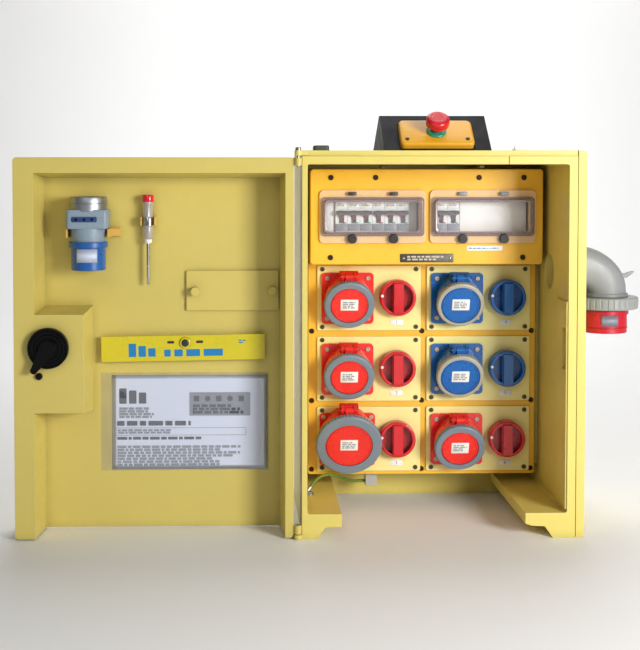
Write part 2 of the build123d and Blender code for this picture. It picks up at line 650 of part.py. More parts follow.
INLET_PIN_ANGLES = [90 + 72 * i for i in range(5)]
with BuildPart() as inlet_shroud:
    with BuildSketch(Plane.XY.offset(275.0)):
        with Locations((INLET_X, INLET_Y)):
            Circle(33.5)
            Circle(29.5, mode=Mode.SUBTRACT)
    extrude(amount=30)
    with BuildSketch(Plane.XY.offset(302.0)):
        with Locations((INLET_X, INLET_Y)):
            Circle(35.5)
    extrude(amount=6)
    with BuildSketch(Plane.XY.offset(275.0)):
        with Locations((INLET_X, INLET_Y + 33.5)):
            Rectangle(9, 5)
    extrude(amount=28)
    with BuildSketch(Plane.XY.offset(279.0)):
        with Locations((INLET_X, INLET_Y)):
            with PolarLocations(17.5, 5, start_angle=90):
                Circle(2.9)
    extrude(amount=25)
save(inlet_shroud, "inlet_shroud")

# ---------------------------------------------------------------- emergency stop on the roof
ESTOP_X = -3.0
slope = Vector(0, ESTOP_TOP_Y - ESTOP_FRONT_Y, ESTOP_TOP_Z - CAB_H)
slope_dir = slope.normalized()
slope_plane = Plane(origin=(ESTOP_X, ESTOP_FRONT_Y, CAB_H), x_dir=(1, 0, 0),
                    z_dir=(0, -slope_dir.Z, slope_dir.Y))
BOX_FACE, BUTTON_UP = 9.0, 32.0
with BuildPart() as estop_guard:
    with BuildSketch(Plane.YZ.offset(ESTOP_X - 76.3)):
        with BuildLine():
            Polyline((ESTOP_FRONT_Y, CAB_H), (ESTOP_TOP_Y, ESTOP_TOP_Z), (ESTOP_TOP_Y + 14, ESTOP_TOP_Z),
                     (-48, CAB_H), close=True)
        make_face()
    extrude(amount=152.6)
    with BuildSketch(Plane.YZ.offset(ESTOP_X - 72.3)):
        with BuildLine():
            Polyline((ESTOP_FRONT_Y + 6.5, CAB_H - 1), (ESTOP_TOP_Y + 1.5, ESTOP_TOP_Z - 4),
                     (ESTOP_TOP_Y + 12.8, ESTOP_TOP_Z - 4), (-53.5, CAB_H - 1), close=True)
        make_face()
    extrude(amount=144.6, mode=Mode.SUBTRACT)
    with BuildSketch(slope_plane.offset(-10)):
        with Locations((0, BUTTON_UP)):
            Rectangle(106, 54)
    extrude(amount=20, mode=Mode.SUBTRACT)
    for x in (-74, 70):
        with Locations((x + (4 if x < 0 else -4), -140, CAB_H + 3)):
            Box(14, 20, 6)
save(estop_guard, "estop_guard")

with BuildPart() as estop_box:
    with BuildSketch(slope_plane.offset(-24)):
        with Locations((0, BUTTON_UP)):
            RectangleRounded(105.4, 53.4, 3)
    extrude(amount=24 + BOX_FACE)
    chamfer(estop_box.faces().sort_by(Axis.Z)[-1].edges().group_by(Edge.length)[-1]
            + estop_box.faces().sort_by(Axis.Z)[-1].edges().group_by(Edge.length)[-2], 2.5)
    with BuildSketch(slope_plane.offset(-24)):
        with Locations((0, BUTTON_UP)):
            RectangleRounded(98, 47, 3)
    extrude(amount=24 + BOX_FACE - 3.5, mode=Mode.SUBTRACT)
    with BuildSketch(slope_plane):
        with Locations((0, BUTTON_UP)):
            Circle(8.4)
    extrude(amount=20, mode=Mode.SUBTRACT)
    with Locations((ESTOP_X, -170, CAB_H - 30)):
        Box(200, 200, 60.6, mode=Mode.SUBTRACT)
save(estop_box, "estop_box")

with BuildPart() as estop_stem:
    with BuildSketch(slope_plane.offset(-12)):
        with Locations((0, BUTTON_UP)):
            Circle(8)
    extrude(amount=12 + BOX_FACE + 9)
    with BuildSketch(slope_plane.offset(BOX_FACE + 6)):
        with Locations((0, BUTTON_UP)):
            Circle(4)
    extrude(amount=14)
    with BuildSketch(slope_plane.offset(-12)):
        with Locations((0, BUTTON_UP)):
            Circle(10)
    extrude(amount=6)
save(estop_stem, "estop_stem")

with BuildPart() as estop_mushroom:
    with BuildSketch(slope_plane.offset(BOX_FACE + 9.3)):
        with Locations((0, BUTTON_UP)):
            Circle(9.5)
    extrude(amount=8)
    with BuildSketch(slope_plane.offset(BOX_FACE + 14)):
        with Locations((0, BUTTON_UP)):
            Circle(16.6)
    extrude(amount=12)
    fillet(estop_mushroom.edges().filter_by(GeomType.CIRCLE).sort_by(Axis.Z)[-1], 5)
    with BuildSketch(slope_plane.offset(BOX_FACE + 9)):
        with Locations((0, BUTTON_UP)):
            Circle(4.2)
    extrude(amount=11.4, mode=Mode.SUBTRACT)
save(estop_mushroom, "estop_mushroom")

# ---------------------------------------------------------------- door
RIM_IN_X0, RIM_IN_X1, RIM_IN_Z = -566.5, -220.7, 508.8
BOSS_X1, BOSS_Z0, BOSS_Z1 = -498.4, 177.5, 314.0
DIAL_X, DIAL_Z = -546.5, 268.5
with BuildPart() as door_shell:
    with BuildSketch(facing(DOOR_RIM_Y)):
        with Locations(((DOOR_X0 + DOOR_X1) / 2, (DOOR_Z0 + DOOR_Z1) / 2)):
            RectangleRounded(DOOR_X1 - DOOR_X0, DOOR_Z1 - DOOR_Z0, 5)
    extrude(amount=DOOR_RIM_Y - DOOR_OUT_Y)
    fillet(door_shell.faces().sort_by(Axis.Y)[-1].edges(), 4)
    # recess, open at the bottom, narrowing towards the skin
    with BuildSketch(facing(DOOR_RIM_Y)):
        with BuildLine():
            Polyline((RIM_IN_X0, -20), (RIM_IN_X0, RIM_IN_Z), (RIM_IN_X1, RIM_IN_Z), (RIM_IN_X1, -20),
                     close=True)
        make_face()
    with BuildSketch(facing(FLOOR_Y)):
        with BuildLine():
            Polyline((RIM_IN_X0 + DRAFT, -20), (RIM_IN_X0 + DRAFT, RIM_IN_Z - DRAFT),
                     (RIM_IN_X1 - DRAFT, RIM_IN_Z - DRAFT), (RIM_IN_X1 - DRAFT, -20), close=True)
        make_face()
    loft(mode=Mode.SUBTRACT)
    # block that carries the latch, flush with the rim
    with BuildSketch(facing(DOOR_RIM_Y)):
        with Locations(((RIM_IN_X0 - 8 + BOSS_X1) / 2, (BOSS_Z0 + BOSS_Z1) / 2)):
            Rectangle(BOSS_X1 - RIM_IN_X0 + 8, BOSS_Z1 - BOSS_Z0)
    with BuildSketch(facing(FLOOR_Y + 1)):
        with Locations(((RIM_IN_X0 - 8 + BOSS_X1 + DRAFT) / 2, (BOSS_Z0 + BOSS_Z1) / 2)):
            Rectangle(BOSS_X1 + DRAFT - RIM_IN_X0 + 8, BOSS_Z1 - BOSS_Z0 + 2 * DRAFT)
    loft()
    # cover plate with its two bosses
    with BuildSketch(facing(FLOOR_Y)):
        with Locations((-294, 341.5)):
            RectangleRounded(131, 57, 2)
    extrude(amount=4)
    for x, tall in ((-346.8, 16), (-237.2, 9)):
        with BuildSketch(facing(FLOOR_Y)):
            with Locations((x, 341)):
                Circle(6.2)
        extrude(amount=tall)
    # hinge lugs
    for z0, z1 in ((8.0, 20.0), (519.0, 530.0)):
        with BuildSketch(Plane.XY.offset(z0)):
            with Locations((PIVOT_X, RIM_Y)):
                Circle(5)
            with Locations(((PIVOT_X - 214) / 2, RIM_Y + 2.75)):
                Rectangle(PIVOT_X + 214, 4.5)
        extrude(amount=z1 - z0)
    with Locations((PIVOT_X, RIM_Y, CAB_H / 2)):
        Cylinder(2.3, CAB_H + 10, mode=Mode.SUBTRACT)
    # spindle hole of the latch
    with BuildSketch(facing(DOOR_OUT_Y + 1)):
        with Locations((DIAL_X, DIAL_Z)):
            Circle(6.4)
    extrude(amount=DOOR_OUT_Y + 2 - DOOR_RIM_Y, mode=Mode.SUBTRACT)
    # shallow panel on the outer face
    with BuildSketch(facing(DOOR_OUT_Y)):
        with Locations((-380, 266)):
            RectangleRounded(230, 440, 12)
    extrude(amount=1.6, mode=Mode.SUBTRACT)
save(door_shell, "door_shell")

with BuildPart() as label_strip:
    strip_plane = Plane(origin=(-364, FLOOR_Y - 8, 260.4), x_dir=(cos(radians(0.9)), 0, sin(radians(0.9))),
                        z_dir=(0, -1, 0))
    with BuildSketch(strip_plane):
        RectangleRounded(232, 36, 1.5)
    extrude(amount=2.5)
    with BuildSketch(facing(FLOOR_Y)):
        with Locations((-361, 266), (-450, 258), (-272, 262)):
            Circle(4)
    extrude(amount=8)
    with BuildSketch(facing(FLOOR_Y - 10.5)):
        with Locations((-361, 268)):
            Circle(8)
    extrude(amount=3)
    fillet(label_strip.edges().filter_by(GeomType.CIRCLE).sort_by(Axis.Y)[0], 2.2)
save(label_strip, "label_strip")

with BuildPart() as document_sleeve:
    with BuildSketch(facing(FLOOR_Y)):
        with Locations((-362, 153.5)):
            RectangleRounded(240, 141, 1.5)
    extrude(amount=1.6)
save(document_sleeve, "document_sleeve")

ADAPTER_X, ADAPTER_Y = -495.0, FLOOR_Y - 28.5
CLIP_Z = 425.0
TESTER_X, TESTER_Y = -412.8, FLOOR_Y - 12.5
with BuildPart() as accessory_clips:
    # spring clip of the adapter: foot, two arms and a screw tab on the right
    with Locations((-490.5, FLOOR_Y - 0.9, CLIP_Z)):
        Box(77, 1.8, 12)
    for s in (-1, 1):
        with Locations((ADAPTER_X + s * 28.8, FLOOR_Y - 21, CLIP_Z)):
            Box(2.4, 40, 12)
    with Locations((-460, FLOOR_Y - 5, CLIP_Z)):
        Box(14, 8, 11)
    # spring clip of the tester
    with Locations((TESTER_X, FLOOR_Y - 0.9, 441)):
        Box(21, 1.8, 12)
    for s in (-1, 1):
        with Locations((TESTER_X + s * 9.6, FLOOR_Y - 9, 441)):
            Box(1.8, 17, 12)
save(accessory_clips, "accessory_clips")

with BuildPart() as adapter:
    with BuildSketch(Plane.XY.offset(458)):
        with Locations((ADAPTER_X, ADAPTER_Y)):
            Circle(26.4)
    extrude(amount=18)
    with BuildSketch(Plane.XY.offset(431.5)):
        with Locations((ADAPTER_X, ADAPTER_Y)):
            RectangleRounded(61, 50, 5)
    extrude(amount=26.7)
    with BuildSketch(Plane.XY.offset(412)):
        with Locations((ADAPTER_X, ADAPTER_Y)):
            Circle(23.5)
    with BuildSketch(Plane.XY.offset(432)):
        with Locations((ADAPTER_X, ADAPTER_Y)):
            Circle(25.5)
    loft()
    with BuildSketch(Plane.XY.offset(405)):
        with Locations((ADAPTER_X, ADAPTER_Y)):
            Circle(27.2)
    extrude(amount=8)
    with BuildSketch(Plane.XY.offset(373.5)):
        with Locations((ADAPTER_X, ADAPTER_Y)):
            Circle(24)
    extrude(amount=35)
    with BuildSketch(Plane.XY.offset(373.5)):
        with Locations((ADAPTER_X, ADAPTER_Y)):
            Circle(20.5)
    extrude(amount=28, mode=Mode.SUBTRACT)
    with BuildSketch(Plane.XY.offset(377)):
        with Locations((ADAPTER_X, ADAPTER_Y)):
            with PolarLocations(12, 3, start_angle=90):
                Circle(2.5)
    extrude(amount=26)
    # socket well in the top
    with BuildSketch(Plane.XY.offset(456)):
        with Locations((ADAPTER_X, ADAPTER_Y)):
            Circle(20)
    extrude(amount=21, mode=Mode.SUBTRACT)
save(adapter, "adapter")

with BuildPart() as tester:
    with BuildSketch(Plane.XY.offset(415)):
        with Locations((TESTER_X, TESTER_Y)):
            Circle(7)
    extrude(amount=54)
    fillet(tester.edges().filter_by(GeomType.CIRCLE).group_by(Axis.Z)[0], 2.5)
    with BuildSketch(Plane.XY.offset(468)):
        with Locations((TESTER_X, TESTER_Y)):
            Circle(8.2)
    extrude(amount=10.5)
    fillet(tester.edges().filter_by(GeomType.CIRCLE).group_by(Axis.Z)[-1], 2)
    with BuildSketch(Plane.XY.offset(409.5)):
        with Locations((TESTER_X, TESTER_Y)):
            Circle(5.2)
    extrude(amount=6.5)
    with BuildSketch(Plane.XY.offset(358)):
        with Locations((TESTER_X, TESTER_Y)):
            Circle(2.4)
    extrude(amount=52)
    with BuildSketch(Plane.XY.offset(351.5)):
        with Locations((TESTER_X, TESTER_Y)):
            Rectangle(4.6, 1.4)
    extrude(amount=8)
save(tester, "tester")

# ---------------------------------------------------------------- latch
DIAL_R, DIAL_T = 28.0, 9.0
with BuildPart() as latch_handle:
    with BuildSketch(facing(DOOR_OUT_Y + 0.6)):
        with Locations((DIAL_X, DIAL_Z)):
            Circle(26)
    extrude(amount=-8)
    with BuildSketch(facing(DOOR_OUT_Y + 6)):
        with Locations((DIAL_X, DIAL_Z)):
            SlotOverall(46, 15)
    extrude(amount=-20, taper=3)
    with BuildSketch(facing(DOOR_OUT_Y + 2)):
        with Locations((DIAL_X, DIAL_Z)):
            Circle(6)
    extrude(amount=DOOR_OUT_Y + 2 - DOOR_RIM_Y)
save(latch_handle, "latch_handle")

CAM_TIP = (-18.5, -29.5)
with BuildPart() as latch_cam:
    with BuildSketch(facing(DOOR_RIM_Y - 0.4)):
        with Locations((DIAL_X, DIAL_Z)):
            Circle(DIAL_R)
    extrude(amount=DIAL_T)
    with BuildSketch(facing(DOOR_RIM_Y - 0.4 - DIAL_T + 2.5)):
        for radius in (25.5, 20.5, 15.5):
            with Locations((DIAL_X, DIAL_Z)):
                Circle(radius)
                Circle(radius - 2.2, mode=Mode.SUBTRACT)
    extrude(amount=2.6, mode=Mode.SUBTRACT)
    with BuildSketch(facing(DOOR_RIM_Y - 0.4 - DIAL_T)):
        with BuildLine():
            Polyline((DIAL_X - 9.3, DIAL_Z + 6), (DIAL_X + CAM_TIP[0] - 4.2, DIAL_Z + CAM_TIP[1] + 1.4),
                     (DIAL_X + CAM_TIP[0] + 3.4, DIAL_Z + CAM_TIP[1] - 3.4), (DIAL_X + 9.6, DIAL_Z - 6),
                     close=True)
        make_face()
        with Locations((DIAL_X, DIAL_Z)):
            Circle(11)
        with Locations((DIAL_X + CAM_TIP[0], DIAL_Z + CAM_TIP[1])):
            Circle(4.8)
    extrude(amount=5.5)
save(latch_cam, "latch_cam")
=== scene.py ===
import json
import random
from math import cos, pi, radians, sin

import bmesh
import bpy
from mathutils import Matrix, Vector


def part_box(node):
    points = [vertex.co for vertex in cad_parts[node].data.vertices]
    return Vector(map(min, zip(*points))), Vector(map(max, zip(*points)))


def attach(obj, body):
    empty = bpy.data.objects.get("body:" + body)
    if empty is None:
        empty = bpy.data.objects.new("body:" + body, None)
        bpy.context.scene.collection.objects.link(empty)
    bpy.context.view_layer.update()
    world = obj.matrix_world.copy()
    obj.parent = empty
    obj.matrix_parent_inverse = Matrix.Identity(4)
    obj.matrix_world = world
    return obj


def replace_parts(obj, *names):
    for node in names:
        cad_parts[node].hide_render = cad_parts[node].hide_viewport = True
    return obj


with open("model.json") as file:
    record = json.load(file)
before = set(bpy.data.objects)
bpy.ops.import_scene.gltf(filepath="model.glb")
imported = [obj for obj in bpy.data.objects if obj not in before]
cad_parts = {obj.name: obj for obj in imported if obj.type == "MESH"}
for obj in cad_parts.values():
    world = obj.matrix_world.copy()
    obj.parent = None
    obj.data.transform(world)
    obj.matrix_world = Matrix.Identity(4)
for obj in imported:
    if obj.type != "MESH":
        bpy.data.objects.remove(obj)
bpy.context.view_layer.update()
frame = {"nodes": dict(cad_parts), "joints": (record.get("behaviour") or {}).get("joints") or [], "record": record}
NODES = frame["nodes"]
JOINT = {j["name"]: j for j in frame["joints"]}
MM = 0.001
M = {}        # materials by name


# ---------------------------------------------------------------- materials
def srgb(r, g, b):
    """Linear colour from 0-255 display values."""
    def one(v):
        v /= 255
        return v / 12.92 if v <= 0.04045 else ((v + 0.055) / 1.055) ** 2.4
    return (one(r), one(g), one(b), 1.0)


def scaled(colour, k):
    return tuple(min(1.0, c * k) for c in colour[:3]) + (1.0,)


def material(name, colour, rough=0.42, metallic=0.0, vary=0.06, blotch=14, grain=1400, bump=0.15,
             wear=0.0, dirt=0.0, round_mm=0.5, coat=0.0, alpha=1.0, streak=0.0, second=None, shine=0.5):
    """Plastic, paint or metal: two-scale colour variation, uneven roughness, fine bump, worn edges, and painted
    shade that darkens crevices found by ambient occlusion.
    """
    mat = bpy.data.materials.new(name)
    mat.use_nodes = True
    tree = mat.node_tree
    tree.nodes.clear()

    def node(kind, **values):
        n = tree.nodes.new(kind)
        for key, value in values.items():
            if key in n.inputs:
                n.inputs[key].default_value = value
            else:
                setattr(n, key, value)
        return n

    link = tree.links.new
    out = node("ShaderNodeOutputMaterial")
    bsdf = node("ShaderNodeBsdfPrincipled")
    bsdf.inputs["Metallic"].default_value = metallic
    bsdf.inputs["Coat Weight"].default_value = coat
    bsdf.inputs["Coat Roughness"].default_value = 0.12
    bsdf.inputs["Alpha"].default_value = alpha
    bsdf.inputs["Specular IOR Level"].default_value = shine
    link(bsdf.outputs[0], out.inputs[0])
    place = node("ShaderNodeTexCoord")

    def noise(scale, detail=3.0, rough_=0.55, stretch=None):
        n = node("ShaderNodeTexNoise", Scale=scale, Detail=detail, Roughness=rough_)
        if stretch:
            turn = node("ShaderNodeMapping")
            turn.inputs["Scale"].default_value = stretch
            link(place.outputs["Object"], turn.inputs[0])
            link(turn.outputs[0], n.inputs["Vector"])
        else:
            link(place.outputs["Object"], n.inputs["Vector"])
        return n.outputs["Fac"]

    def ranged(value, lo, hi, to_lo=0.0, to_hi=1.0):
        n = node("ShaderNodeMapRange")
        n.inputs[1].default_value, n.inputs[2].default_value = lo, hi
        n.inputs[3].default_value, n.inputs[4].default_value = to_lo, to_hi
        link(value, n.inputs[0])
        return n.outputs[0]

    def blend(factor, a, b):
        n = node("ShaderNodeMix", data_type="RGBA")
        link(factor, n.inputs[0])
        for value, socket in ((a, n.inputs[6]), (b, n.inputs[7])):
            if hasattr(value, "is_linked"):
                link(value, socket)
            else:
                socket.default_value = value
        return n.outputs[2]

    def times(a, b):
        n = node("ShaderNodeMath", operation="MULTIPLY")
        link(a, n.inputs[0])
        if hasattr(b, "is_linked"):
            link(b, n.inputs[1])
        else:
            n.inputs[1].default_value = b
        return n.outputs[0]

    base = blend(ranged(noise(blotch), 0.3, 0.7), scaled(colour, 1 - vary), scaled(colour, 1 + vary))
    if second:
        base = blend(ranged(noise(blotch * 0.35, 2), 0.35, 0.65), base, second)
    base = blend(ranged(noise(blotch * 14, 4), 0.35, 0.75, 0, 0.35), base, scaled(colour, 1 - 1.6 * vary))
    if streak:
        lines = ranged(noise(60, 4, 0.6, (14, 14, 1)), 0.56, 0.72, 0, streak)
        base = blend(lines, base, scaled(colour, 0.78))
    soft = node("ShaderNodeBevel", samples=4, Radius=max(round_mm, 0.1) * MM) if round_mm else None
    if wear:
        geometry = node("ShaderNodeNewGeometry")
        dot = node("ShaderNodeVectorMath", operation="DOT_PRODUCT")
        link(soft.outputs[0], dot.inputs[0])
        link(geometry.outputs["Normal"], dot.inputs[1])
        edge = ranged(dot.outputs["Value"], 0.80, 0.97, wear, 0.0)
        base = blend(times(edge, ranged(noise(90, 4), 0.42, 0.66)), base, scaled(colour, 1.25))
    # painted shade: the colour darkens where ambient occlusion finds crevices, recesses and gaps between parts,
    # mottled by noise
    if dirt:
        ao = node("ShaderNodeAmbientOcclusion", samples=4, Distance=0.014)
        shade = ranged(ao.outputs["AO"], 0.35, 0.95, dirt, 0.0)
        base = blend(times(shade, ranged(noise(45, 4), 0.25, 0.6, 0.5, 1)), base, scaled(colour, 0.42))
    link(base, bsdf.inputs["Base Color"])
    link(ranged(noise(55, 4), 0.3, 0.7, max(0.03, rough - 0.07), rough + 0.09), bsdf.inputs["Roughness"])
    relief = node("ShaderNodeBump", Strength=bump, Distance=0.0004)
    link(noise(grain, 2), relief.inputs["Height"])
    if soft:
        link(soft.outputs[0], relief.inputs["Normal"])
    link(relief.outputs[0], bsdf.inputs["Normal"])
    return mat


def paint(name, rgb, *values, second=None, **settings):
    """Adds a material with 0-255 display colours to M."""
    M[name] = material(name, srgb(*rgb), *values, second=srgb(*second) if second else None, **settings)


paint("shell_yellow", (226, 208, 110), 0.40, vary=0.03, blotch=5, wear=0.35, dirt=0.5, round_mm=1.0,
      streak=0.08)
paint("panel_orange", (250, 194, 56), 0.34, vary=0.05, blotch=5, wear=0.5, dirt=0.5, round_mm=0.8)
paint("plate_yellow", (248, 236, 156), 0.36, vary=0.03, blotch=9, wear=0.3, dirt=0.35, round_mm=0.6)
paint("bezel_grey", (234, 196, 146), 0.22, dirt=0.2, coat=0.4, bump=0.04, second=(238, 206, 160))
paint("screw_steel", (92, 88, 66), 0.38, 0.75, vary=0.15, blotch=200, wear=0.6, round_mm=0.2)
paint("pin_steel", (150, 152, 150), 0.3, 0.9, vary=0.1, blotch=120, round_mm=0.3)
paint("insert_grey", (96, 98, 100), 0.5)
paint("equipment_grey", (178, 178, 174), 0.5, dirt=0.3)
paint("breaker_white", (236, 238, 244), 0.42, vary=0.03, dirt=0.12)
paint("toggle_dark", (128, 92, 98), 0.34, wear=0.3)
paint("bar_dark", (62, 78, 80), 0.36, wear=0.3)
# brighter copy of breaker_white for the right window's outer blank: painted light
paint("filler_painted_light", (250, 252, 255), 0.35, vary=0.02, dirt=0.1)
paint("field_blue", (132, 138, 152), 0.4, vary=0.04, blotch=60)
paint("tray_edge", (142, 126, 140), 0.14, alpha=0.78, coat=0.5, vary=0.08, bump=0.02)
paint("screw_light", (206, 196, 176), 0.32, 0.35, vary=0.1, blotch=150, round_mm=0.2)
paint("screw_dark", (52, 34, 20), 0.45, 0.3, vary=0.15, blotch=150, round_mm=0.2)
paint("earth_wire", (74, 112, 34), 0.4, vary=0.1, second=(178, 172, 50))
paint("lug_tin", (176, 176, 170), 0.35, 0.85, vary=0.12, blotch=150)
paint("inlet_grey", (142, 144, 144), 0.4, vary=0.04, wear=0.3, dirt=0.4, round_mm=0.9)
paint("ring_grey", (122, 136, 150), 0.38, vary=0.06, wear=0.5, dirt=0.5, round_mm=0.5)
paint("ring_beige", (172, 170, 158), 0.38, vary=0.05, wear=0.4, dirt=0.5)
paint("ring_pale", (150, 152, 150), 0.38, vary=0.05, wear=0.4, dirt=0.45)
paint("socket_red", (240, 44, 36), 0.28, vary=0.07, blotch=18, wear=0.35, dirt=0.55, coat=0.25, grain=2200,
      bump=0.06)
paint("socket_blue", (10, 98, 180), 0.28, vary=0.07, blotch=18, wear=0.35, dirt=0.55, coat=0.25, grain=2200,
      bump=0.06)
paint("shroud_red", (196, 22, 42), 0.3, vary=0.06, dirt=0.5, coat=0.25)
# the handles get strong painted shade in their recesses
paint("handle_red", (212, 26, 38), 0.3, vary=0.07, wear=0.3, dirt=0.95, coat=0.25)
paint("handle_blue", (14, 98, 178), 0.3, vary=0.07, wear=0.3, dirt=0.95, coat=0.25)
# darker copy of shell_yellow for the door shell: painted shade for its less lit face
paint("door_yellow_painted_shade", (212, 194, 104), 0.40, vary=0.03, blotch=5, wear=0.35, dirt=0.5, round_mm=1.0,
      streak=0.08)
paint("guard_black", (22, 22, 28), 0.5, vary=0.12, wear=0.5, round_mm=0.9, shine=0.25)
paint("estop_yellow", (238, 176, 44), 0.32, wear=0.4, dirt=0.35, coat=0.2, round_mm=0.9)
paint("button_red", (214, 24, 40), 0.26, vary=0.05, coat=0.4, wear=0.2, round_mm=0.6)
paint("strip_yellow", (216, 200, 34), 0.3, 0.0, vary=0.04, coat=0.3, wear=0.4, dirt=0.2, bump=0.03)
paint("document_paper", (210, 218, 240), 0.55, vary=0.02, grain=3000, bump=0.05)
paint("clip_orange", (226, 182, 92), 0.38, wear=0.4, dirt=0.35)
paint("latch_black", (7, 7, 10), 0.34, vary=0.2, wear=0.4, round_mm=0.5, shine=0.18)
paint("adapter_grey", (138, 156, 170), 0.36, wear=0.4, dirt=0.3, round_mm=0.9)
paint("tester_clear", (205, 202, 204), 0.12, alpha=0.42, coat=0.6)
paint("window_clear", (228, 230, 240), 0.10, alpha=0.07, vary=0.02, coat=0.5, bump=0.02)
paint("knob_dark", (46, 46, 48), 0.4, vary=0.1, wear=0.4, round_mm=0.3)
paint("chrome", (170, 176, 182), 0.42, 1.0, vary=0.04, bump=0.03, wear=0.2)
paint("steel_bright", (186, 186, 182), 0.24, 0.95, vary=0.06, blotch=90, bump=0.05)
paint("white", (238, 238, 234), 0.4, vary=0.02, blotch=30, bump=0.05)
paint("ink_grey", (136, 142, 156), 0.5, vary=0.05, bump=0.02, round_mm=0)
paint("ink_dark", (72, 76, 90), 0.5, vary=0.05, bump=0.02, round_mm=0)
paint("ink_blue", (22, 128, 190), 0.45, vary=0.05, bump=0.02, round_mm=0)
paint("blue_dark", (34, 62, 120), 0.35, wear=0.3)
paint("blue_bright", (30, 94, 168), 0.3, vary=0.06, coat=0.3, dirt=0.4, wear=0.3)
paint("green", (50, 150, 116), 0.35, wear=0.3)
paint("nameplate", (74, 70, 62), 0.45, 0.3, vary=0.1, blotch=60)
paint("cap_green", (70, 82, 72), 0.5, vary=0.1)
paint("red_pale", (232, 110, 116), 0.3, coat=0.2)
paint("red_dark", (170, 20, 34), 0.3, coat=0.2)
paint("sleeve_film", (232, 236, 240), 0.08, alpha=0.13, vary=0.01, coat=0.6, bump=0.02, round_mm=0)

for subpart in frame["record"]["subparts"]:
    obj = NODES[subpart["node"]]
    obj.data.materials.clear()
    obj.data.materials.append(M[subpart["material_slot"]])


def repaint(node, mat):
    NODES[node].data.materials[0] = M[mat]


# the door shell takes the darker copy of the shell yellow, a painted shade
repaint("door_shell", "door_yellow_painted_shade")


# ---------------------------------------------------------------- mesh helpers
def finish_mesh(name, bm, mat, body, at=None, angle=35):
    """Makes a bmesh, placed by a matrix, into a piece that rides on a body."""
    bmesh.ops.recalc_face_normals(bm, faces=bm.faces)
    if at is not None:
        bm.transform(at)
    mesh = bpy.data.meshes.new(name)
    bm.to_mesh(mesh)
    bm.free()
    mesh.shade_smooth()
    mesh.set_sharp_from_angle(angle=radians(angle))
    mesh.materials.append(M[mat])
    obj = bpy.data.objects.new(name, mesh)
    bpy.context.scene.collection.objects.link(obj)
    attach(obj, body)
    return obj


def loops(bm, rings, cap=(True, True)):
    """Skins successive rings of points, with end caps."""
    rows = [[bm.verts.new(p) for p in ring] for ring in rings]
    for low, high in zip(rows, rows[1:]):
        for i in range(len(low)):
            j = (i + 1) % len(low)
            bm.faces.new((low[i], low[j], high[j], high[i]))
    if cap[0]:
        bm.faces.new(list(reversed(rows[0])))
    if cap[1]:
        bm.faces.new(rows[-1])
    return rows


def circle(r, z, steps):
    return [(r * cos(2 * pi * i / steps), r * sin(2 * pi * i / steps), z) for i in range(steps)]


def rounded(w, h, r, z, steps=5):
    """Outline of a rectangle with round corners."""
    r = max(r, 1e-5)
    ring = []
    for cx, cy, start in ((w / 2 - r, h / 2 - r, 0), (r - w / 2, h / 2 - r, 90),
                          (r - w / 2, r - h / 2, 180), (w / 2 - r, r - h / 2, 270)):
        for i in range(steps + 1):
            a = radians(start + 90 * i / steps)
            ring.append((cx + r * cos(a), cy + r * sin(a), z))
    return ring


def moved(rings, dx, dy):
    return [[(x + dx, y + dy, z) for x, y, z in ring] for ring in rings]


def slab(bm, w, h, t, r, ease=0.0, centre=(0, 0), base=0.0):
    """Rounded plate from base to base + t with eased front edges."""
    rings = [rounded(w, h, r, base)]
    if ease:
        rings += [rounded(w, h, r, base + t - ease),
                  rounded(w - 0.6 * ease, h - 0.6 * ease, r - 0.3 * ease, base + t - 0.3 * ease),
                  rounded(w - 2 * ease, h - 2 * ease, r - ease, base + t)]
    else:
        rings.append(rounded(w, h, r, base + t))
    loops(bm, moved(rings, *centre))


def lathe(bm, profile, steps):
    """Turns (radius, z) pairs about local z."""
    loops(bm, [circle(r, z, steps) for r, z in profile])


def prism(bm, outline, t):
    """Flat shape between z 0 and t."""
    low, high = ([bm.verts.new((x, y, z)) for x, y in outline] for z in (0.0, t))
    bm.faces.new(high)
    bm.faces.new(low[::-1])
    for i in range(len(low)):
        j = (i + 1) % len(low)
        bm.faces.new((low[i], low[j], high[j], high[i]))


def quilt(bm, cols, rows, point):
    """Sheet of quads through point(u, v), for u and v from 0 to 1."""
    verts = [bm.verts.new(point(i / cols, j / rows)) for j in range(rows + 1) for i in range(cols + 1)]
    for j in range(rows):
        for i in range(cols):
            a = j * (cols + 1) + i
            bm.faces.new((verts[a], verts[a + 1], verts[a + cols + 2], verts[a + cols + 1]))


def thicken(obj, thickness, offset):
    mod = obj.modifiers.new("thickness", "SOLIDIFY")
    mod.thickness, mod.offset = thickness, offset


def axes(origin, x, y, z):
    """Matrix with these three axes and this origin."""
    m = Matrix.Identity(4)
    for i, v in enumerate((x, y, z, origin)):
        for k in range(3):
            m[k][i] = v[k]
    return m


def front(x, y, z):
    """Local x to the right, y up, z out to the front."""
    return axes((x, y, z), (1, 0, 0), (0, 0, 1), (0, -1, 0))


def upright(x, y, z):
    return Matrix.Translation((x, y, z))


def turned(name, profile, steps, mat, body, at):
    bm = bmesh.new()
    lathe(bm, profile, steps)
    return finish_mesh(name, bm, mat, body, at)


def plate(name, size, mat, body, at, ease):
    """Rounded plate: its size is width, height, thickness and corner radius."""
    bm = bmesh.new()
    slab(bm, *size, ease=ease)
    return finish_mesh(name, bm, mat, body, at)


def bars(bm, w, h, rows, seed, base=0.0, thick=0.00006, fill=0.62, ragged=True, centre=(0, 0)):
    """Rows of short bars that stand for print."""
    rng = random.Random(seed)
    pitch = h / rows
    for row in range(rows):
        y = centre[1] + h / 2 - pitch * (row + 0.5)
        x = centre[0] - w / 2
        end = centre[0] + w / 2 - (rng.random() * w * 0.3 if ragged else 0)
        while x < end - pitch * 0.4:
            run = min(end - x, pitch * rng.uniform(0.8, 3.2))
            slab(bm, run, pitch * fill, thick, pitch * 0.12, centre=(x + run / 2, y), base=base)
            x += run + pitch * 0.45


LABEL_T, DIGIT_T = 0.0003, 0.0001


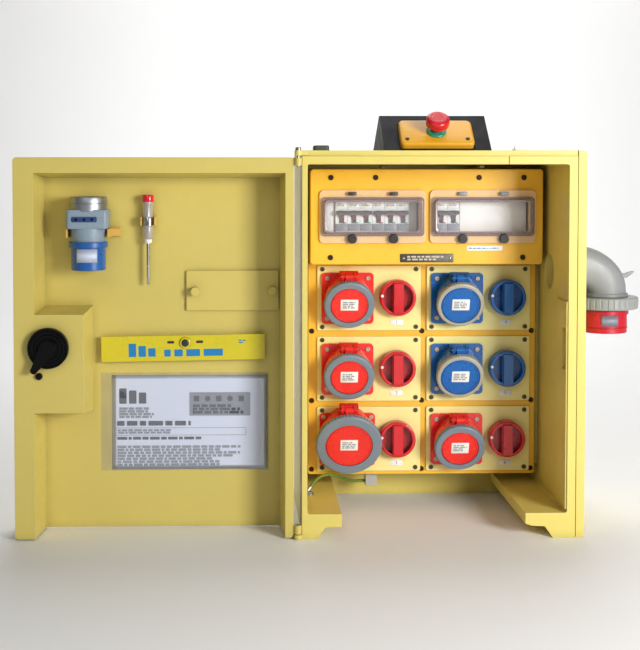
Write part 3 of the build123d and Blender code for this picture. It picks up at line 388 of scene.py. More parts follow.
def label(name, w, h, at, body, rows, seed, ink="ink_grey", print_w=0.78, print_h=0.66):
    """White label with rows of bars."""
    plate(name, (w, h, LABEL_T, min(w, h) * 0.06), "white", body, at, LABEL_T * 0.3)
    if rows:
        bm = bmesh.new()
        bars(bm, w * print_w, h * print_h, rows, seed, base=LABEL_T)
        finish_mesh(name + "_print", bm, ink, body, at)


def wrapped_label(name, radius, half_angle, low, high, steps, mat, body, at):
    """Thin label round the front of an upright cylinder."""
    bm = bmesh.new()
    arc = [radians(-90 - half_angle + 2 * half_angle * i / steps) for i in range(steps + 1)]
    rows = [[bm.verts.new((radius * cos(a), radius * sin(a), z)) for a in arc] for z in (low, high)]
    for i in range(steps):
        bm.faces.new((rows[0][i], rows[0][i + 1], rows[1][i + 1], rows[1][i]))
    thicken(finish_mesh(name, bm, mat, body, at), 0.0002, 0)


def digit(name, text, size, at, body):
    """Plain extruded numeral."""
    curve = bpy.data.curves.new(name, "FONT")
    curve.body, curve.size, curve.extrude = text, size, DIGIT_T / 2
    curve.align_x, curve.align_y = "CENTER", "CENTER"
    temp = bpy.data.objects.new(name + "_outline", curve)
    mesh = bpy.data.meshes.new_from_object(temp)
    bpy.data.objects.remove(temp)
    bm = bmesh.new()
    bm.from_mesh(mesh)
    bmesh.ops.translate(bm, vec=(0, 0, DIGIT_T / 2), verts=bm.verts)
    finish_mesh(name, bm, "ink_blue", body, at)


def merge(target, source, at):
    """Adds a bmesh, placed by a matrix, to another."""
    source.transform(at)
    temp = bpy.data.meshes.new("part")
    source.to_mesh(temp)
    source.free()
    target.from_mesh(temp)
    bpy.data.meshes.remove(temp)


def islands(node):
    """Boxes (low, high) of the separate solids of a CAD node."""
    mesh = NODES[node].data
    parent = {}

    def root(k):
        while parent[k] != k:
            parent[k] = parent[parent[k]]
            k = parent[k]
        return k

    keys = [tuple(round(c, 6) for c in v.co) for v in mesh.vertices]
    for k in keys:
        parent.setdefault(k, k)
    for poly in mesh.polygons:
        first = root(keys[poly.vertices[0]])
        for i in poly.vertices[1:]:
            parent[root(keys[i])] = first
    boxes = {}
    for k in parent:
        lo, hi = boxes.setdefault(root(k), (list(k), list(k)))
        for i in range(3):
            lo[i], hi[i] = min(lo[i], k[i]), max(hi[i], k[i])
    return sorted(boxes.values())


def cross_screw(bm, at, r, t, turn=0.0):
    """Pan head with a cross recess."""
    steps, arm, half, deep = 28, r * 0.56, r * 0.13, t * 0.6
    before = set(bm.verts)
    head = ((r, 0), (r, t * 0.35), (r * 0.94, t * 0.72), (r * 0.76, t))
    rows = loops(bm, [circle(a, z, steps) for a, z in head], cap=(True, False))
    cross = [(arm, half), (half, half), (half, arm), (-half, arm), (-half, half), (-arm, half),
             (-arm, -half), (-half, -half), (-half, -arm), (half, -arm), (half, -half), (arm, -half)]
    sides = len(cross)
    mouth = [bm.verts.new((x, y, t)) for x, y in cross]
    floor = [bm.verts.new((x * 0.8, y * 0.8, t - deep)) for x, y in cross]
    edges = [bm.edges.new((mouth[i], mouth[(i + 1) % sides])) for i in range(sides)]
    rim = [bm.edges.get((rows[-1][i], rows[-1][(i + 1) % steps])) for i in range(steps)]
    bmesh.ops.triangle_fill(bm, edges=edges + rim, use_beauty=True)
    for i in range(sides):
        j = (i + 1) % sides
        bm.faces.new((mouth[i], floor[i], floor[j], mouth[j]))
    bm.faces.new(floor)
    new = [v for v in bm.verts if v not in before]
    bmesh.ops.transform(bm, matrix=at @ Matrix.Rotation(turn, 4, "Z"), verts=new)


def tube(name, points, radius, mat, body):
    """A round mesh tube along a smooth curve near the points, and the line it follows."""
    curve = bpy.data.curves.new(name, "CURVE")
    curve.dimensions, curve.bevel_resolution, curve.use_fill_caps = "3D", 8, True
    spline = curve.splines.new("NURBS")
    spline.points.add(len(points) - 1)
    for point, co in zip(spline.points, points):
        point.co = (*co, 1.0)
    spline.order_u, spline.use_endpoint_u, spline.resolution_u = 3, True, 12
    holder = bpy.data.objects.new(name + "_curve", curve)
    bpy.context.scene.collection.objects.link(holder)
    shapes = []
    for depth in (0.0, radius):
        curve.bevel_depth = depth
        depsgraph = bpy.context.evaluated_depsgraph_get()
        shapes.append(bpy.data.meshes.new_from_object(holder.evaluated_get(depsgraph)))
    line, mesh = shapes
    path = [tuple(v.co) for v in line.vertices]
    bpy.data.objects.remove(holder)
    bpy.data.curves.remove(curve)
    bpy.data.meshes.remove(line)
    mesh.materials.clear()
    mesh.materials.append(M[mat])
    mesh.shade_smooth()
    mesh.set_sharp_from_angle(angle=radians(50))
    obj = bpy.data.objects.new(name, mesh)
    bpy.context.scene.collection.objects.link(obj)
    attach(obj, body)
    return obj, path


# ---------------------------------------------------------------- camera
LENS, SENSOR = 68.5, 36
EYE = (-0.2819, -1.945, 0.5115)
YAW, PITCH = 1.30, 2.08                  # degrees to the right and down
SHIFT = (0.0785, -0.1677)
cam_data = bpy.data.cameras.new("camera")
camera = bpy.data.objects.new("camera", cam_data)
bpy.context.scene.collection.objects.link(camera)
bpy.context.scene.camera = camera
cam_data.lens = LENS
cam_data.sensor_width = SENSOR
cam_data.shift_x, cam_data.shift_y = SHIFT
camera.location = EYE
camera.rotation_euler = (radians(90 - PITCH), 0, radians(-YAW))
cam_data.clip_start, cam_data.clip_end = 0.05, 50

# ---------------------------------------------------------------- earth wire, with the route of its CAD solid
WIRE_D = 0.0046
WIRE = [(-0.1790, -0.1270, 0.0430), (-0.1710, -0.1210, 0.0520), (-0.1600, -0.1125, 0.0570),
        (-0.1475, -0.1025, 0.0560), (-0.1345, -0.0915, 0.0495), (-0.1220, -0.0800, 0.0420),
        (-0.1115, -0.0690, 0.0370), (-0.1010, -0.0608, 0.0353), (-0.0908, -0.0580, 0.0350)]
wire, wire_path = tube("earth_lead", WIRE, WIRE_D / 2, "earth_wire", "base")
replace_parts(wire, "earth_wire")

# ---------------------------------------------------------------- screws
SCREW_T = 0.0021
PLATE_HEAD, FLANGE_HEAD, NEAR = 0.002, 0.006, 0.001    # how far the heads stand proud of the plates
heads = {kind: bmesh.new() for kind in ("screw_dark", "screw_steel", "screw_light")}
rng = random.Random(7)
plate_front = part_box("socket_plates")[0][1]
for lo, hi in islands("panel_screws"):
    proud = plate_front - lo[1]
    on_plate, on_flange = abs(proud - PLATE_HEAD) < NEAR, abs(proud - FLANGE_HEAD) < NEAR
    kind = "screw_light" if on_flange else "screw_steel" if on_plate else "screw_dark"
    cross_screw(heads[kind], front((lo[0] + hi[0]) / 2, lo[1] + SCREW_T, (lo[2] + hi[2]) / 2),
                (hi[0] - lo[0]) / 2, SCREW_T, rng.uniform(0, pi / 2))
for kind, bm in heads.items():
    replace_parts(finish_mesh("screws_" + kind, bm, kind, "base"), "panel_screws")

# ---------------------------------------------------------------- sockets, lids and switches
LID_FACE = 0.008                         # lid's face in front of its ring's centre
BIG_RING = 0.09
DISC_BIG, DISC_RED, DISC_BLUE = 0.0350, 0.0280, 0.0292
RIM_H = 0.0007
TAG_W, TAG_H, TAG_DROP = 0.019, 0.0076, 0.0385
MARK = (-0.0240, 0.0042, 0.0032)         # pale mark, from the handle's axis and front
RIGHT = Vector((1, 0, 0))
for number in range(1, 7):
    turn = JOINT[f"socket_ring_{number}_turn"]
    out = Vector(turn["axis"])
    up = out.cross(RIGHT)
    mouth = Vector(turn["pos_m"])
    lid_body = f"socket_lid_{number}"
    lo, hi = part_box(f"socket_ring_{number}")
    big = hi[0] - lo[0] > BIG_RING
    blue = "blue" in next(s["material_slot"] for s in frame["record"]["subparts"]
                          if s["node"] == f"socket_{number}")
    colour = "socket_blue" if blue else "socket_red"
    if blue:
        repaint(f"socket_ring_{number}", "ring_beige")
    repaint(f"switch_handle_{number}", "handle_blue" if blue else "handle_red")
    # shallow raised rim and a label on the lid
    disc_r = DISC_BIG if big else DISC_BLUE if blue else DISC_RED
    bm = bmesh.new()
    rim = ((0.0012, 0.0), (0.0016, RIM_H), (0.0030, RIM_H), (0.0034, 0.0))
    loops(bm, [circle(disc_r - inset, z, 64) for inset, z in rim], cap=(False, False))
    face = mouth + out * LID_FACE
    finish_mesh(f"lid_rim_{number}", bm, colour, lid_body, axes(face, RIGHT, up, out))
    label_at = axes(face + up * 0.001, RIGHT, up, out)
    label(f"lid_label_{number}", 0.026, 0.018, label_at, lid_body, 4, 20 + number)
    # steel pin of the lid's hinge
    hinge = Vector(JOINT[f"socket_lid_{number}_hinge"]["pos_m"])
    pin = [(0.0008, -0.0134), (0.0012, -0.0130), (0.0012, 0.0130), (0.0008, 0.0134)]
    turned(f"lid_pin_{number}", pin, 18, "steel_bright", "base",
           axes(hinge, (0, 0, -1), (0, 1, 0), (1, 0, 0)))
    # number label under the switch and the pale mark on the handle's rim
    axis = Vector(JOINT[f"switch_handle_{number}_turn"]["pos_m"])
    tag_z = axis.z - TAG_DROP
    label(f"number_label_{number}", TAG_W, TAG_H, front(axis.x, plate_front, tag_z), "base", 0, 0)
    digit(f"number_{number}", str(number), 0.0068, front(axis.x, plate_front - LABEL_T, tag_z), "base")
    handle_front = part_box(f"switch_handle_{number}")[0][1]
    turned(f"handle_mark_{number}", [(0.0022, 0), (0.0022, 0.0005), (0.0017, 0.0008)], 20,
           "white", f"switch_handle_{number}",
           front(axis.x + MARK[0], handle_front + MARK[1], axis.z + MARK[2]))

# ---------------------------------------------------------------- breaker cover
cover_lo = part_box("breaker_cover")[0]
cover_front, cover_foot = cover_lo[1], cover_lo[2]
label("cover_label", 0.053, 0.0073, front(0.0783, cover_front, cover_foot + 0.0240), "base", 1, 3,
      print_w=0.9, print_h=0.36, ink="ink_blue")
NAME_T, RIVET_X = 0.0009, 0.0345
plate_at = front(-0.0075, cover_front, cover_foot + 0.0096)
plate("name_plate", (0.079, 0.0127, NAME_T, 0.001), "nameplate", "base", plate_at, 0.0003)
bm = bmesh.new()
bars(bm, 0.058, 0.008, 2, 4, base=NAME_T)
finish_mesh("name_plate_print", bm, "screw_light", "base", plate_at)
bm = bmesh.new()
for side in (-1, 1):
    rivet = [circle(r, NAME_T + z, 20) for r, z in
             ((0.0019, 0), (0.0018, 0.0005), (0.0012, 0.0009), (0.0004, 0.0011))]
    loops(bm, moved(rivet, side * RIVET_X, 0))
finish_mesh("name_plate_rivets", bm, "steel_bright", "base", plate_at)

# ---------------------------------------------------------------- breakers behind the windows
NOSE_LOW, NOSE_HIGH = 0.0195, -0.0205    # nose of a breaker from its lowest and highest points
HEADER_DROP, FIELD_RISE, FLAG_RISE = 0.0050, 0.0066, 0.0132
HEADER_T, FIELD_T = 0.0003, 0.0004
poles = islands("breakers")
fields = {name: bmesh.new() for name in ("white", "ink_grey", "red_dark", "green", "field_blue")}
for k, (lo, hi) in enumerate(poles):
    x, y = (lo[0] + hi[0]) / 2, lo[1]
    low, high = lo[2] + NOSE_LOW, hi[2] + NOSE_HIGH
    header, field = front(x, y, high - HEADER_DROP), front(x, y, low + FIELD_RISE)
    part = bmesh.new()
    slab(part, 0.0160, 0.0080, HEADER_T, 0.0006, ease=0.0001)
    merge(fields["white"], part, header)
    part = bmesh.new()
    slab(part, 0.0176, 0.0105, FIELD_T, 0.0003, ease=0.0001)
    merge(fields["field_blue"], part, field)
    for h, rows, base, seed, at in ((0.0046, 2, HEADER_T, k, header), (0.0060, 3, FIELD_T, 40 + k, field)):
        part = bmesh.new()
        bars(part, 0.0125, h, rows, seed, base=base)
        merge(fields["ink_grey"], part, at)
    part = bmesh.new()
    slab(part, 0.0050, 0.0018, 0.0004, 0.0004, ease=0.0001)
    merge(fields["green" if k % 3 else "red_dark"], part, front(x + 0.0045, y, low + FLAG_RISE))
for name, bm in fields.items():
    finish_mesh("breaker_" + name, bm, name, "base")

# dark tie bars over the levers
LEVER_TILT = -20
for k in (1, 2, 3):
    lo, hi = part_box(f"breaker_toggle_{k}")
    pivot = JOINT[f"breaker_toggle_{k}_throw"]["pos_m"]
    at = upright(*pivot) @ Matrix.Rotation(radians(LEVER_TILT), 4, "X") @ front(0, -0.0108, 0.0022)
    plate(f"tie_bar_{k}", (hi[0] - lo[0] + 0.0060, 0.0048, 0.0043, 0.0012), "bar_dark",
          f"breaker_toggle_{k}", at, 0.0008)

# blank covers fill the rest of both windows; the right window's outer blank is a brighter white, a painted light
APERTURE_LOW, APERTURE_HIGH = 0.4215, 0.4665
BLANK_T, BLANK_GAP, WINDOW_SIDE = 0.004, 0.0006, 0.008
nose_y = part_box("breakers")[0][1]
window_lo, window_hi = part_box("window_right")
window_l_lo, window_l_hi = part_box("window_left")
for name, x0, x1, y, mat in (
        ("blank_right", poles[7][1][0] + BLANK_GAP, window_hi[0] - WINDOW_SIDE, nose_y, "filler_painted_light"),
        ("blank_right_inner", window_lo[0] + WINDOW_SIDE, poles[6][0][0] - BLANK_GAP, nose_y + BLANK_T,
         "breaker_white"),
        ("blank_left", window_l_lo[0] + WINDOW_SIDE, poles[0][0][0] - BLANK_GAP, nose_y + BLANK_T,
         "breaker_white"),
        ("blank_left_inner", poles[5][1][0] + BLANK_GAP, window_l_hi[0] - WINDOW_SIDE, nose_y + BLANK_T,
         "breaker_white")):
    plate(name, (x1 - x0, APERTURE_HIGH - APERTURE_LOW + 0.004, BLANK_T, 0.0008), mat,
          "base",
          front((x0 + x1) / 2, y + BLANK_T, (APERTURE_LOW + APERTURE_HIGH) / 2), 0.0005)

# denser edges of the window trays, and the caps over their hinges
TRAY_W, TRAY_LOW, TRAY_H = 0.151, 0.416, 0.057
TRAY_MID = TRAY_LOW + TRAY_H / 2
FLANGE_IN = 0.0026                       # window's flange behind the front of the bezels
CAP_X = 0.0305
bezel_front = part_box("window_bezels")[0][1]
for side in ("left", "right"):
    body = "window_" + side
    tray_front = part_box(body)[0][1]
    hinge = Vector(JOINT[f"window_{side}_hinge"]["pos_m"])
    bm = bmesh.new()
    edge = ((0.0022, 0.0070), (0.0040, 0.0002), (0.0055, 0.0002), (0.0070, 0.0010))
    loops(bm, [rounded(TRAY_W - 2 * inset, TRAY_H - 2 * inset, 0.006, -back) for inset, back in edge],
          cap=(False, False))
    finish_mesh("tray_edge_" + side, bm, "tray_edge", body,
                front(hinge.x, tray_front - 0.0001, TRAY_MID))
    bm = bmesh.new()
    flange = ((-0.0040, 0.0045, 0.0001), (0.0004, 0.0052, 0.0001), (0.0004, 0.0052, -0.0014))
    loops(bm, [rounded(TRAY_W + grow, TRAY_H + grow, r, z) for grow, r, z in flange], cap=(False, False))
    finish_mesh("tray_flange_" + side, bm, "tray_edge", body,
                front(hinge.x, bezel_front + FLANGE_IN, TRAY_MID))
    for k, s in enumerate((-1, 1)):
        plate(f"hinge_cap_{side}_{k}", (0.0126, 0.0052, 0.0012, 0.0012),
              "knob_dark" if side == "left" else "ring_grey", body,
              front(hinge.x + s * CAP_X, hinge.y - 0.0024, hinge.z), 0.0005)

# ---------------------------------------------------------------- emergency stop
normal = -Vector(JOINT["estop_press"]["axis"])
button = Vector(JOINT["estop_twist"]["pos_m"])
slope_up = normal.cross(RIGHT)


def on_slope(dx, dy, dn):
    """Place on the sloping box, from the button's joint: to the right, up the slope and out of it."""
    return axes(button + RIGHT * dx + slope_up * dy + normal * dn, RIGHT, slope_up, normal)


# rounded housing, cut off where it meets the roof
BOX_FACE, BOX_W, BOX_H, BOX_DEEP, BOX_ROUND, BOX_EASE = 0.009, 0.1054, 0.0534, 0.024, 0.0075, 0.0038
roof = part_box("cabinet")[1][2] + 0.0003
box_rings = [rounded(BOX_W, BOX_H, BOX_ROUND, -BOX_DEEP)]
for k in range(7):
    a = pi / 12 * k
    inset = BOX_EASE * (1 - cos(a))
    box_rings.append(rounded(BOX_W - 2 * inset, BOX_H - 2 * inset, BOX_ROUND - 0.6 * inset,
                             BOX_FACE - BOX_EASE * (1 - sin(a))))
bm = bmesh.new()
loops(bm, box_rings)
bm.transform(on_slope(0, 0, 0))
cut = bmesh.ops.bisect_plane(bm, geom=bm.verts[:] + bm.edges[:] + bm.faces[:], plane_co=(0, 0, roof),
                             plane_no=(0, 0, 1), clear_inner=True)
bmesh.ops.edgeloop_fill(bm, edges=[e for e in cut["geom_cut"] if isinstance(e, bmesh.types.BMEdge)])
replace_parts(finish_mesh("estop_housing", bm, "estop_yellow", "base"), "estop_box")
turned("estop_collar", [(0.0110, 0), (0.0142, 0), (0.0142, 0.0022), (0.0132, 0.0032), (0.0110, 0.0032)], 48,
       "green", "base", on_slope(0, 0, BOX_FACE))
bm = bmesh.new()
for side in (-1, 1):
    cross_screw(bm, on_slope(side * 0.0430, -0.0165, BOX_FACE), 0.0030, 0.0012, 0.4 + side)
finish_mesh("estop_box_screws", bm, "screw_steel", "base")

# three curved arrows on the mushroom
MUSHROOM_TOP, ARROW_T, ARC_STEP = 0.026, 0.0003, 0.13
ARC_IN, ARC_OUT = 0.0078, 0.0092


def polar(*points):
    return [(r * cos(a), r * sin(a)) for r, a in points]


bm = bmesh.new()
for k in range(3):
    arc = [2 * pi * k / 3 + t * ARC_STEP for t in range(9)]
    for a, b in zip(arc, arc[1:]):
        prism(bm, polar((ARC_IN, a), (ARC_OUT, a), (ARC_OUT, b), (ARC_IN, b)), ARROW_T)
    prism(bm, polar((0.0066, arc[-1]), (0.0104, arc[-1]), (0.0085, arc[-1] + 0.28)), ARROW_T)
finish_mesh("estop_arrows", bm, "red_pale", "estop_button",
            on_slope(0, 0, BOX_FACE + MUSHROOM_TOP))

# ---------------------------------------------------------------- door: yellow strip
INK_T = 0.00012
SCREW_X = 0.003                          # strip's screw from the strip's middle
strip_lo, strip_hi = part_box("label_strip")
strip_x, strip_z = (strip_lo[0] + strip_hi[0]) / 2, (strip_lo[2] + strip_hi[2]) / 2
strip_face = strip_hi[1] - 0.0105
strip_at = front(strip_x, strip_face, strip_z) @ Matrix.Rotation(radians(0.9), 4, "Z")
bm = bmesh.new()
for k in range(3):
    slab(bm, 0.0105, 0.0190 - 0.0035 * k, INK_T, 0.0012, centre=(-0.0720 + 0.0138 * k, -0.0020 - 0.00175 * k))
bars(bm, 0.088, 0.0112, 1, 31, thick=INK_T, fill=0.9, centre=(0.0170, -0.0068), ragged=False)
bars(bm, 0.010, 0.0060, 2, 32, thick=INK_T, centre=(0.0840, 0.0080))
finish_mesh("strip_graphic", bm, "ink_blue", "door", strip_at)
bm = bmesh.new()
for side in (-1, 1):
    slab(bm, 0.010, 0.0036, 0.0003, 0.0017, centre=(SCREW_X + side * 0.0205, 0.0085))
finish_mesh("strip_slots", bm, "knob_dark", "door", strip_at)
dome = [(0.0082, 0), (0.0080, 0.0012), (0.0064, 0.0026), (0.0040, 0.0034), (0.0014, 0.0037)]
turned("strip_dome_screw", dome, 36, "knob_dark", "door",
       front(strip_x + SCREW_X, strip_face - 0.0001, strip_z + 0.0076))

# ---------------------------------------------------------------- door: printed sheet in its sleeve
SHEET_W, SHEET_H = 0.222, 0.1354
PRINT_LIFT, OVERPRINT = 0.00065, 0.00007
sleeve_lo, sleeve_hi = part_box("document_sleeve")
sleeve_w, sleeve_h = sleeve_hi[0] - sleeve_lo[0], sleeve_hi[2] - sleeve_lo[2]
sleeve_x, sleeve_z = (sleeve_lo[0] + sleeve_hi[0]) / 2, (sleeve_lo[2] + sleeve_hi[2]) / 2
sheet_at = front(sleeve_x + 0.0072, sleeve_hi[1] - 0.0004, sleeve_z - 0.0008)
print_at = sheet_at @ Matrix.Translation((0, 0, PRINT_LIFT))


def paper_point(u, v):
    u, v = u - 0.5, v - 0.5
    return u * SHEET_W, v * SHEET_H, 0.0003 * (sin(7 * u + 1.2) * cos(5 * v) + 1)


def film_point(u, v):
    inside = min(1.0, 12 * min(u, 1 - u), 12 * min(v, 1 - v))
    wave = 0.5 + 0.25 * sin(19 * u + 3 * v) + 0.25 * sin(11 * v + 2 + 4 * u)
    return (u - 0.5) * sleeve_w, (v - 0.5) * sleeve_h, 0.0001 + inside * (0.0010 + 0.0004 * wave)


def patch(x0, x1, z0, z1):
    """Width, height and centre of a field of the sheet, in mm from its top left corner."""
    centre = ((x0 + x1) / 2 * MM - SHEET_W / 2, SHEET_H / 2 - (z0 + z1) / 2 * MM)
    return (x1 - x0) * MM, (z1 - z0) * MM, centre


def print_rows(bm, field, rows, seed, base=0.0, fill=0.85, ragged=True):
    w, h, centre = patch(*field)
    bars(bm, w, h, rows, seed, base=base, fill=fill, centre=centre, ragged=ragged)


def print_patch(bm, field, radius, base=0.0):
    w, h, centre = patch(*field)
    slab(bm, w, h, 0.00006, radius * MM, centre=centre, base=base)


bm = bmesh.new()
quilt(bm, 36, 22, paper_point)
paper = finish_mesh("printed_sheet", bm, "document_paper", "door", sheet_at)
thicken(paper, 0.0001, -1)
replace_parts(paper, "document_sleeve")
# heading block of three bars, and two bold lines
bm = bmesh.new()
for k in range(3):
    print_patch(bm, (10 + 14 * k, 20.5 + 14 * k, 19 + 3 * k, 41), 1.2)
print_rows(bm, (7, 112, 65.5, 73.0), 1, 51, fill=0.9, ragged=False)
print_rows(bm, (7, 128, 88.5, 93.0), 1, 52, fill=0.9, ragged=False)
finish_mesh("sheet_bold_print", bm, "ink_dark", "door", print_at)
# a ruled box, and three blocks of small rows
bm = bmesh.new()
print_rows(bm, (10, 62, 46, 62), 4, 53)
for z in (75.5, 86.0):
    print_patch(bm, (5, 191, z, z + 0.7), 0.1)
for x in (5, 190.3):
    print_patch(bm, (x, x + 0.7, 76.2, 86.0), 0.1)
print_rows(bm, (8, 112, 77.5, 84.5), 2, 54)
print_rows(bm, (7, 188, 101, 131), 7, 55)
finish_mesh("sheet_small_print", bm, "ink_grey", "door", print_at)
# grey panel with five plain shapes over rows
bm = bmesh.new()
print_patch(bm, (110, 197, 25, 58.6), 1)
finish_mesh("printed_panel", bm, "field_blue", "door", print_at)
bm = bmesh.new()
for k in range(5):
    print_patch(bm, (116 + 16 * k, 124 + 16 * k, 30, 38), 3.9 if k % 2 else 0.8, base=OVERPRINT)
print_rows(bm, (115, 192, 42, 56), 3, 56, base=OVERPRINT)
finish_mesh("printed_panel_icons", bm, "ink_dark", "door", print_at)
bm = bmesh.new()
quilt(bm, 60, 36, film_point)
finish_mesh("sleeve", bm, "sleeve_film", "door", front(sleeve_x, sleeve_hi[1], sleeve_z))

# ---------------------------------------------------------------- door: black pin in the latch block
BLOCK_FACE = -0.2445
dial = Vector(JOINT["latch_turn"]["pos_m"])
turned("latch_block_pin", [(0.0048, 0), (0.0048, 0.0030), (0.0040, 0.0040), (0.0022, 0.0043)], 32,
       "latch_black", "door", front(dial.x - 0.0133, BLOCK_FACE, dial.z - 0.0395))

# ---------------------------------------------------------------- adapter, with heights from its foot
BLOCK_W, BLOCK_D, BLOCK_LOW, BLOCK_HIGH, BLOCK_EASE = 0.057, 0.050, 0.0580, 0.0847, 0.0012
PIN_CIRCLE = 0.012
a_lo, a_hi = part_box("adapter")
ax, ay, a_foot = (a_lo[0] + a_hi[0]) / 2, (a_lo[1] + a_hi[1]) / 2, a_lo[2]
adapter_at = upright(ax, ay, a_foot)
pieces = [turned("adapter_collar", [
    (0.0200, 0.0825), (0.0264, 0.0825), (0.0264, 0.0925), (0.0258, 0.0929), (0.0258, 0.0935),
    (0.0264, 0.0939), (0.0264, 0.1010), (0.0256, 0.1023), (0.0232, 0.1023), (0.0226, 0.1015),
    (0.0200, 0.0965), (0.0200, 0.0840)],
    56, "chrome", "adapter", adapter_at)]
bm = bmesh.new()
eased = ((BLOCK_EASE, 0), (0.0003, BLOCK_EASE * 0.5), (0, BLOCK_EASE))
rings = [rounded(BLOCK_W - 2 * inset, BLOCK_D - 2 * inset, 0.005, z) for inset, z in
         [(inset, BLOCK_LOW + rise) for inset, rise in eased]
         + [(inset, BLOCK_HIGH - rise) for inset, rise in reversed(eased)]]
loops(bm, rings)
pieces.append(finish_mesh("adapter_block", bm, "adapter_grey", "adapter", adapter_at))
pieces.append(turned("adapter_neck", [
    (0.0200, 0.0393), (0.0236, 0.0395), (0.0238, 0.0425), (0.0244, 0.0485), (0.0252, 0.0565),
    (0.0250, 0.0587)],
    56, "adapter_grey", "adapter", adapter_at))
pieces.append(turned("adapter_plug", [
    (0.0205, 0), (0.0235, 0), (0.0240, 0.0007), (0.0240, 0.0310), (0.0266, 0.0315), (0.0272, 0.0323),
    (0.0272, 0.0387), (0.0266, 0.0395), (0.0205, 0.0395)],
    56, "blue_bright", "adapter", adapter_at))
bm = bmesh.new()
for k in range(3):
    a = radians(90 + 120 * k)
    pin = [circle(r, z, 20) for r, z in ((0.0017, 0.0037), (0.0025, 0.0050), (0.0025, 0.0295))]
    loops(bm, moved(pin, PIN_CIRCLE * cos(a), PIN_CIRCLE * sin(a)))
pieces.append(finish_mesh("adapter_pins", bm, "steel_bright", "adapter", adapter_at))
for piece in pieces:
    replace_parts(piece, "adapter")
SLOT_T = 0.0009
slot_at = front(ax - 0.003, ay - BLOCK_D / 2, a_foot + 0.0712)
plate("adapter_slot", (0.0353, 0.0075, SLOT_T, 0.0020), "blue_dark", "adapter",
      slot_at, 0.0004)
bm = bmesh.new()
for dx in (-0.0110, 0, 0.0110):
    slab(bm, 0.0040, 0.0034, 0.0002, 0.0016, centre=(dx, 0), base=SLOT_T)
finish_mesh("adapter_slot_holes", bm, "latch_black", "adapter", slot_at)
wrapped_label("adapter_label", 0.02425, 36, 0.0115, 0.0300, 20, "document_paper", "adapter", adapter_at)

# ---------------------------------------------------------------- tester, with heights from its tip
t_lo, t_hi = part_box("tester")
tester_at = upright((t_lo[0] + t_hi[0]) / 2, (t_lo[1] + t_hi[1]) / 2, t_lo[2])
pieces = []
for name, steps, mat, slot, profile in (
        ("tester_handle", 36, "tester_clear", "tester_clear",
         [(0.0050, 0.0635), (0.0064, 0.0650), (0.0070, 0.0685), (0.0070, 0.0815),
          (0.0066, 0.0830), (0.0066, 0.0955), (0.0070, 0.0970), (0.0070, 0.1165)]),
        ("tester_band", 36, "steel_bright", "pin_steel",
         [(0.0069, 0.0830), (0.0072, 0.0833), (0.0072, 0.0947), (0.0069, 0.0953)]),
        ("tester_cap", 36, "button_red", "button_red",
         [(0.0068, 0.1163), (0.0080, 0.1167), (0.0082, 0.1180), (0.0082, 0.1250),
          (0.0074, 0.1266), (0.0040, 0.1270)]),
        ("tester_collar", 32, "white", "document_paper",
         [(0.0030, 0.0580), (0.0046, 0.0585), (0.0052, 0.0595), (0.0052, 0.0637)])):
    pieces.append(turned(name, profile, steps, mat, "tester", tester_at))
bm = bmesh.new()
lathe(bm, [(0.0022, 0.0085), (0.0024, 0.0100), (0.0024, 0.0585)], 24)
loops(bm, [rounded(0.0046, 0.0008, 0.0002, 0, 2), rounded(0.0046, 0.0014, 0.0002, 0.0035, 2),
           rounded(0.0040, 0.0030, 0.0008, 0.0089, 2)])
pieces.append(finish_mesh("tester_blade", bm, "steel_bright", "tester", tester_at))
core = [(0.0026, 0.0655), (0.0030, 0.0665), (0.0030, 0.1135), (0.0026, 0.1145)]
pieces.append(turned("tester_core", core, 20, "steel_bright", "tester", tester_at))
for piece in pieces:
    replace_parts(piece, "tester")

# ---------------------------------------------------------------- inlet
NECK_R, FLANGE_T, FLANGE_W = 0.0313, 0.005, 0.092
FLANGE_LOW, FLANGE_MID, SCREW_OUT = 0.314, 0.360, 0.040
inlet = Vector(JOINT["inlet_ring_turn"]["pos_m"])
repaint("inlet_ring", "ring_pale")
repaint("inlet_shroud", "shroud_red")
shroud_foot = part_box("inlet_shroud")[0][2]
wall_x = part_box("cabinet")[1][0]
house_lo, house_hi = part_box("inlet_housing")
hood_foot, hood_top = house_lo[2], house_hi[2]
# bent hood: sections turned about a point at the foot of the wall flange
PIVOT_X, PIVOT_Z = wall_x + 0.004, hood_foot + 0.027
REACH, RISE = inlet.x + NECK_R - PIVOT_X, hood_top - 0.0025 - PIVOT_Z
sections = []
for k in range(15):
    share = k / 14
    a = share * pi / 2
    outer = 1 / ((sin(a) / REACH) ** 2 + (cos(a) / RISE) ** 2) ** 0.5
    inner = share * (REACH - 2 * NECK_R)
    mid, half = (outer + inner) / 2, (outer - inner) / 2
    half_y, power = 0.0360 - 0.0040 * share, 2 / (3.4 - 1.3 * share)
    section = []
    for i in range(48):
        t = 2 * pi * i / 48
        c, d = (abs(v) ** power * (1 if v >= 0 else -1) for v in (cos(t), sin(t)))
        reach = mid + half * c
        section.append((PIVOT_X + reach * sin(a), inlet.y + half_y * d, PIVOT_Z + reach * cos(a)))
    sections.append(section)
sections.append([(x, y, z - 0.0045) for x, y, z in sections[-1]])
bm = bmesh.new()
loops(bm, sections)
hood = [finish_mesh("inlet_hood", bm, "inlet_grey", "base", angle=50)]
hood.append(turned("inlet_neck", [
    (0.0280, 0), (0.0300, 0), (0.0300, 0.0200), (0.0345, 0.0200), (0.0345, 0.0238), (0.0335, 0.0248),
    (0.0280, 0.0248)], 56, "inlet_grey", "base", upright(inlet.x, inlet.y, hood_foot)))
SIDEWAYS = ((0, 1, 0), (0, 0, 1), (1, 0, 0))
flange_at = axes((wall_x, inlet.y, (hood_top + FLANGE_LOW) / 2), *SIDEWAYS)
hood.append(plate("inlet_flange", (FLANGE_W, hood_top - FLANGE_LOW, FLANGE_T, 0.006), "inlet_grey", "base",
                  flange_at, 0.001))
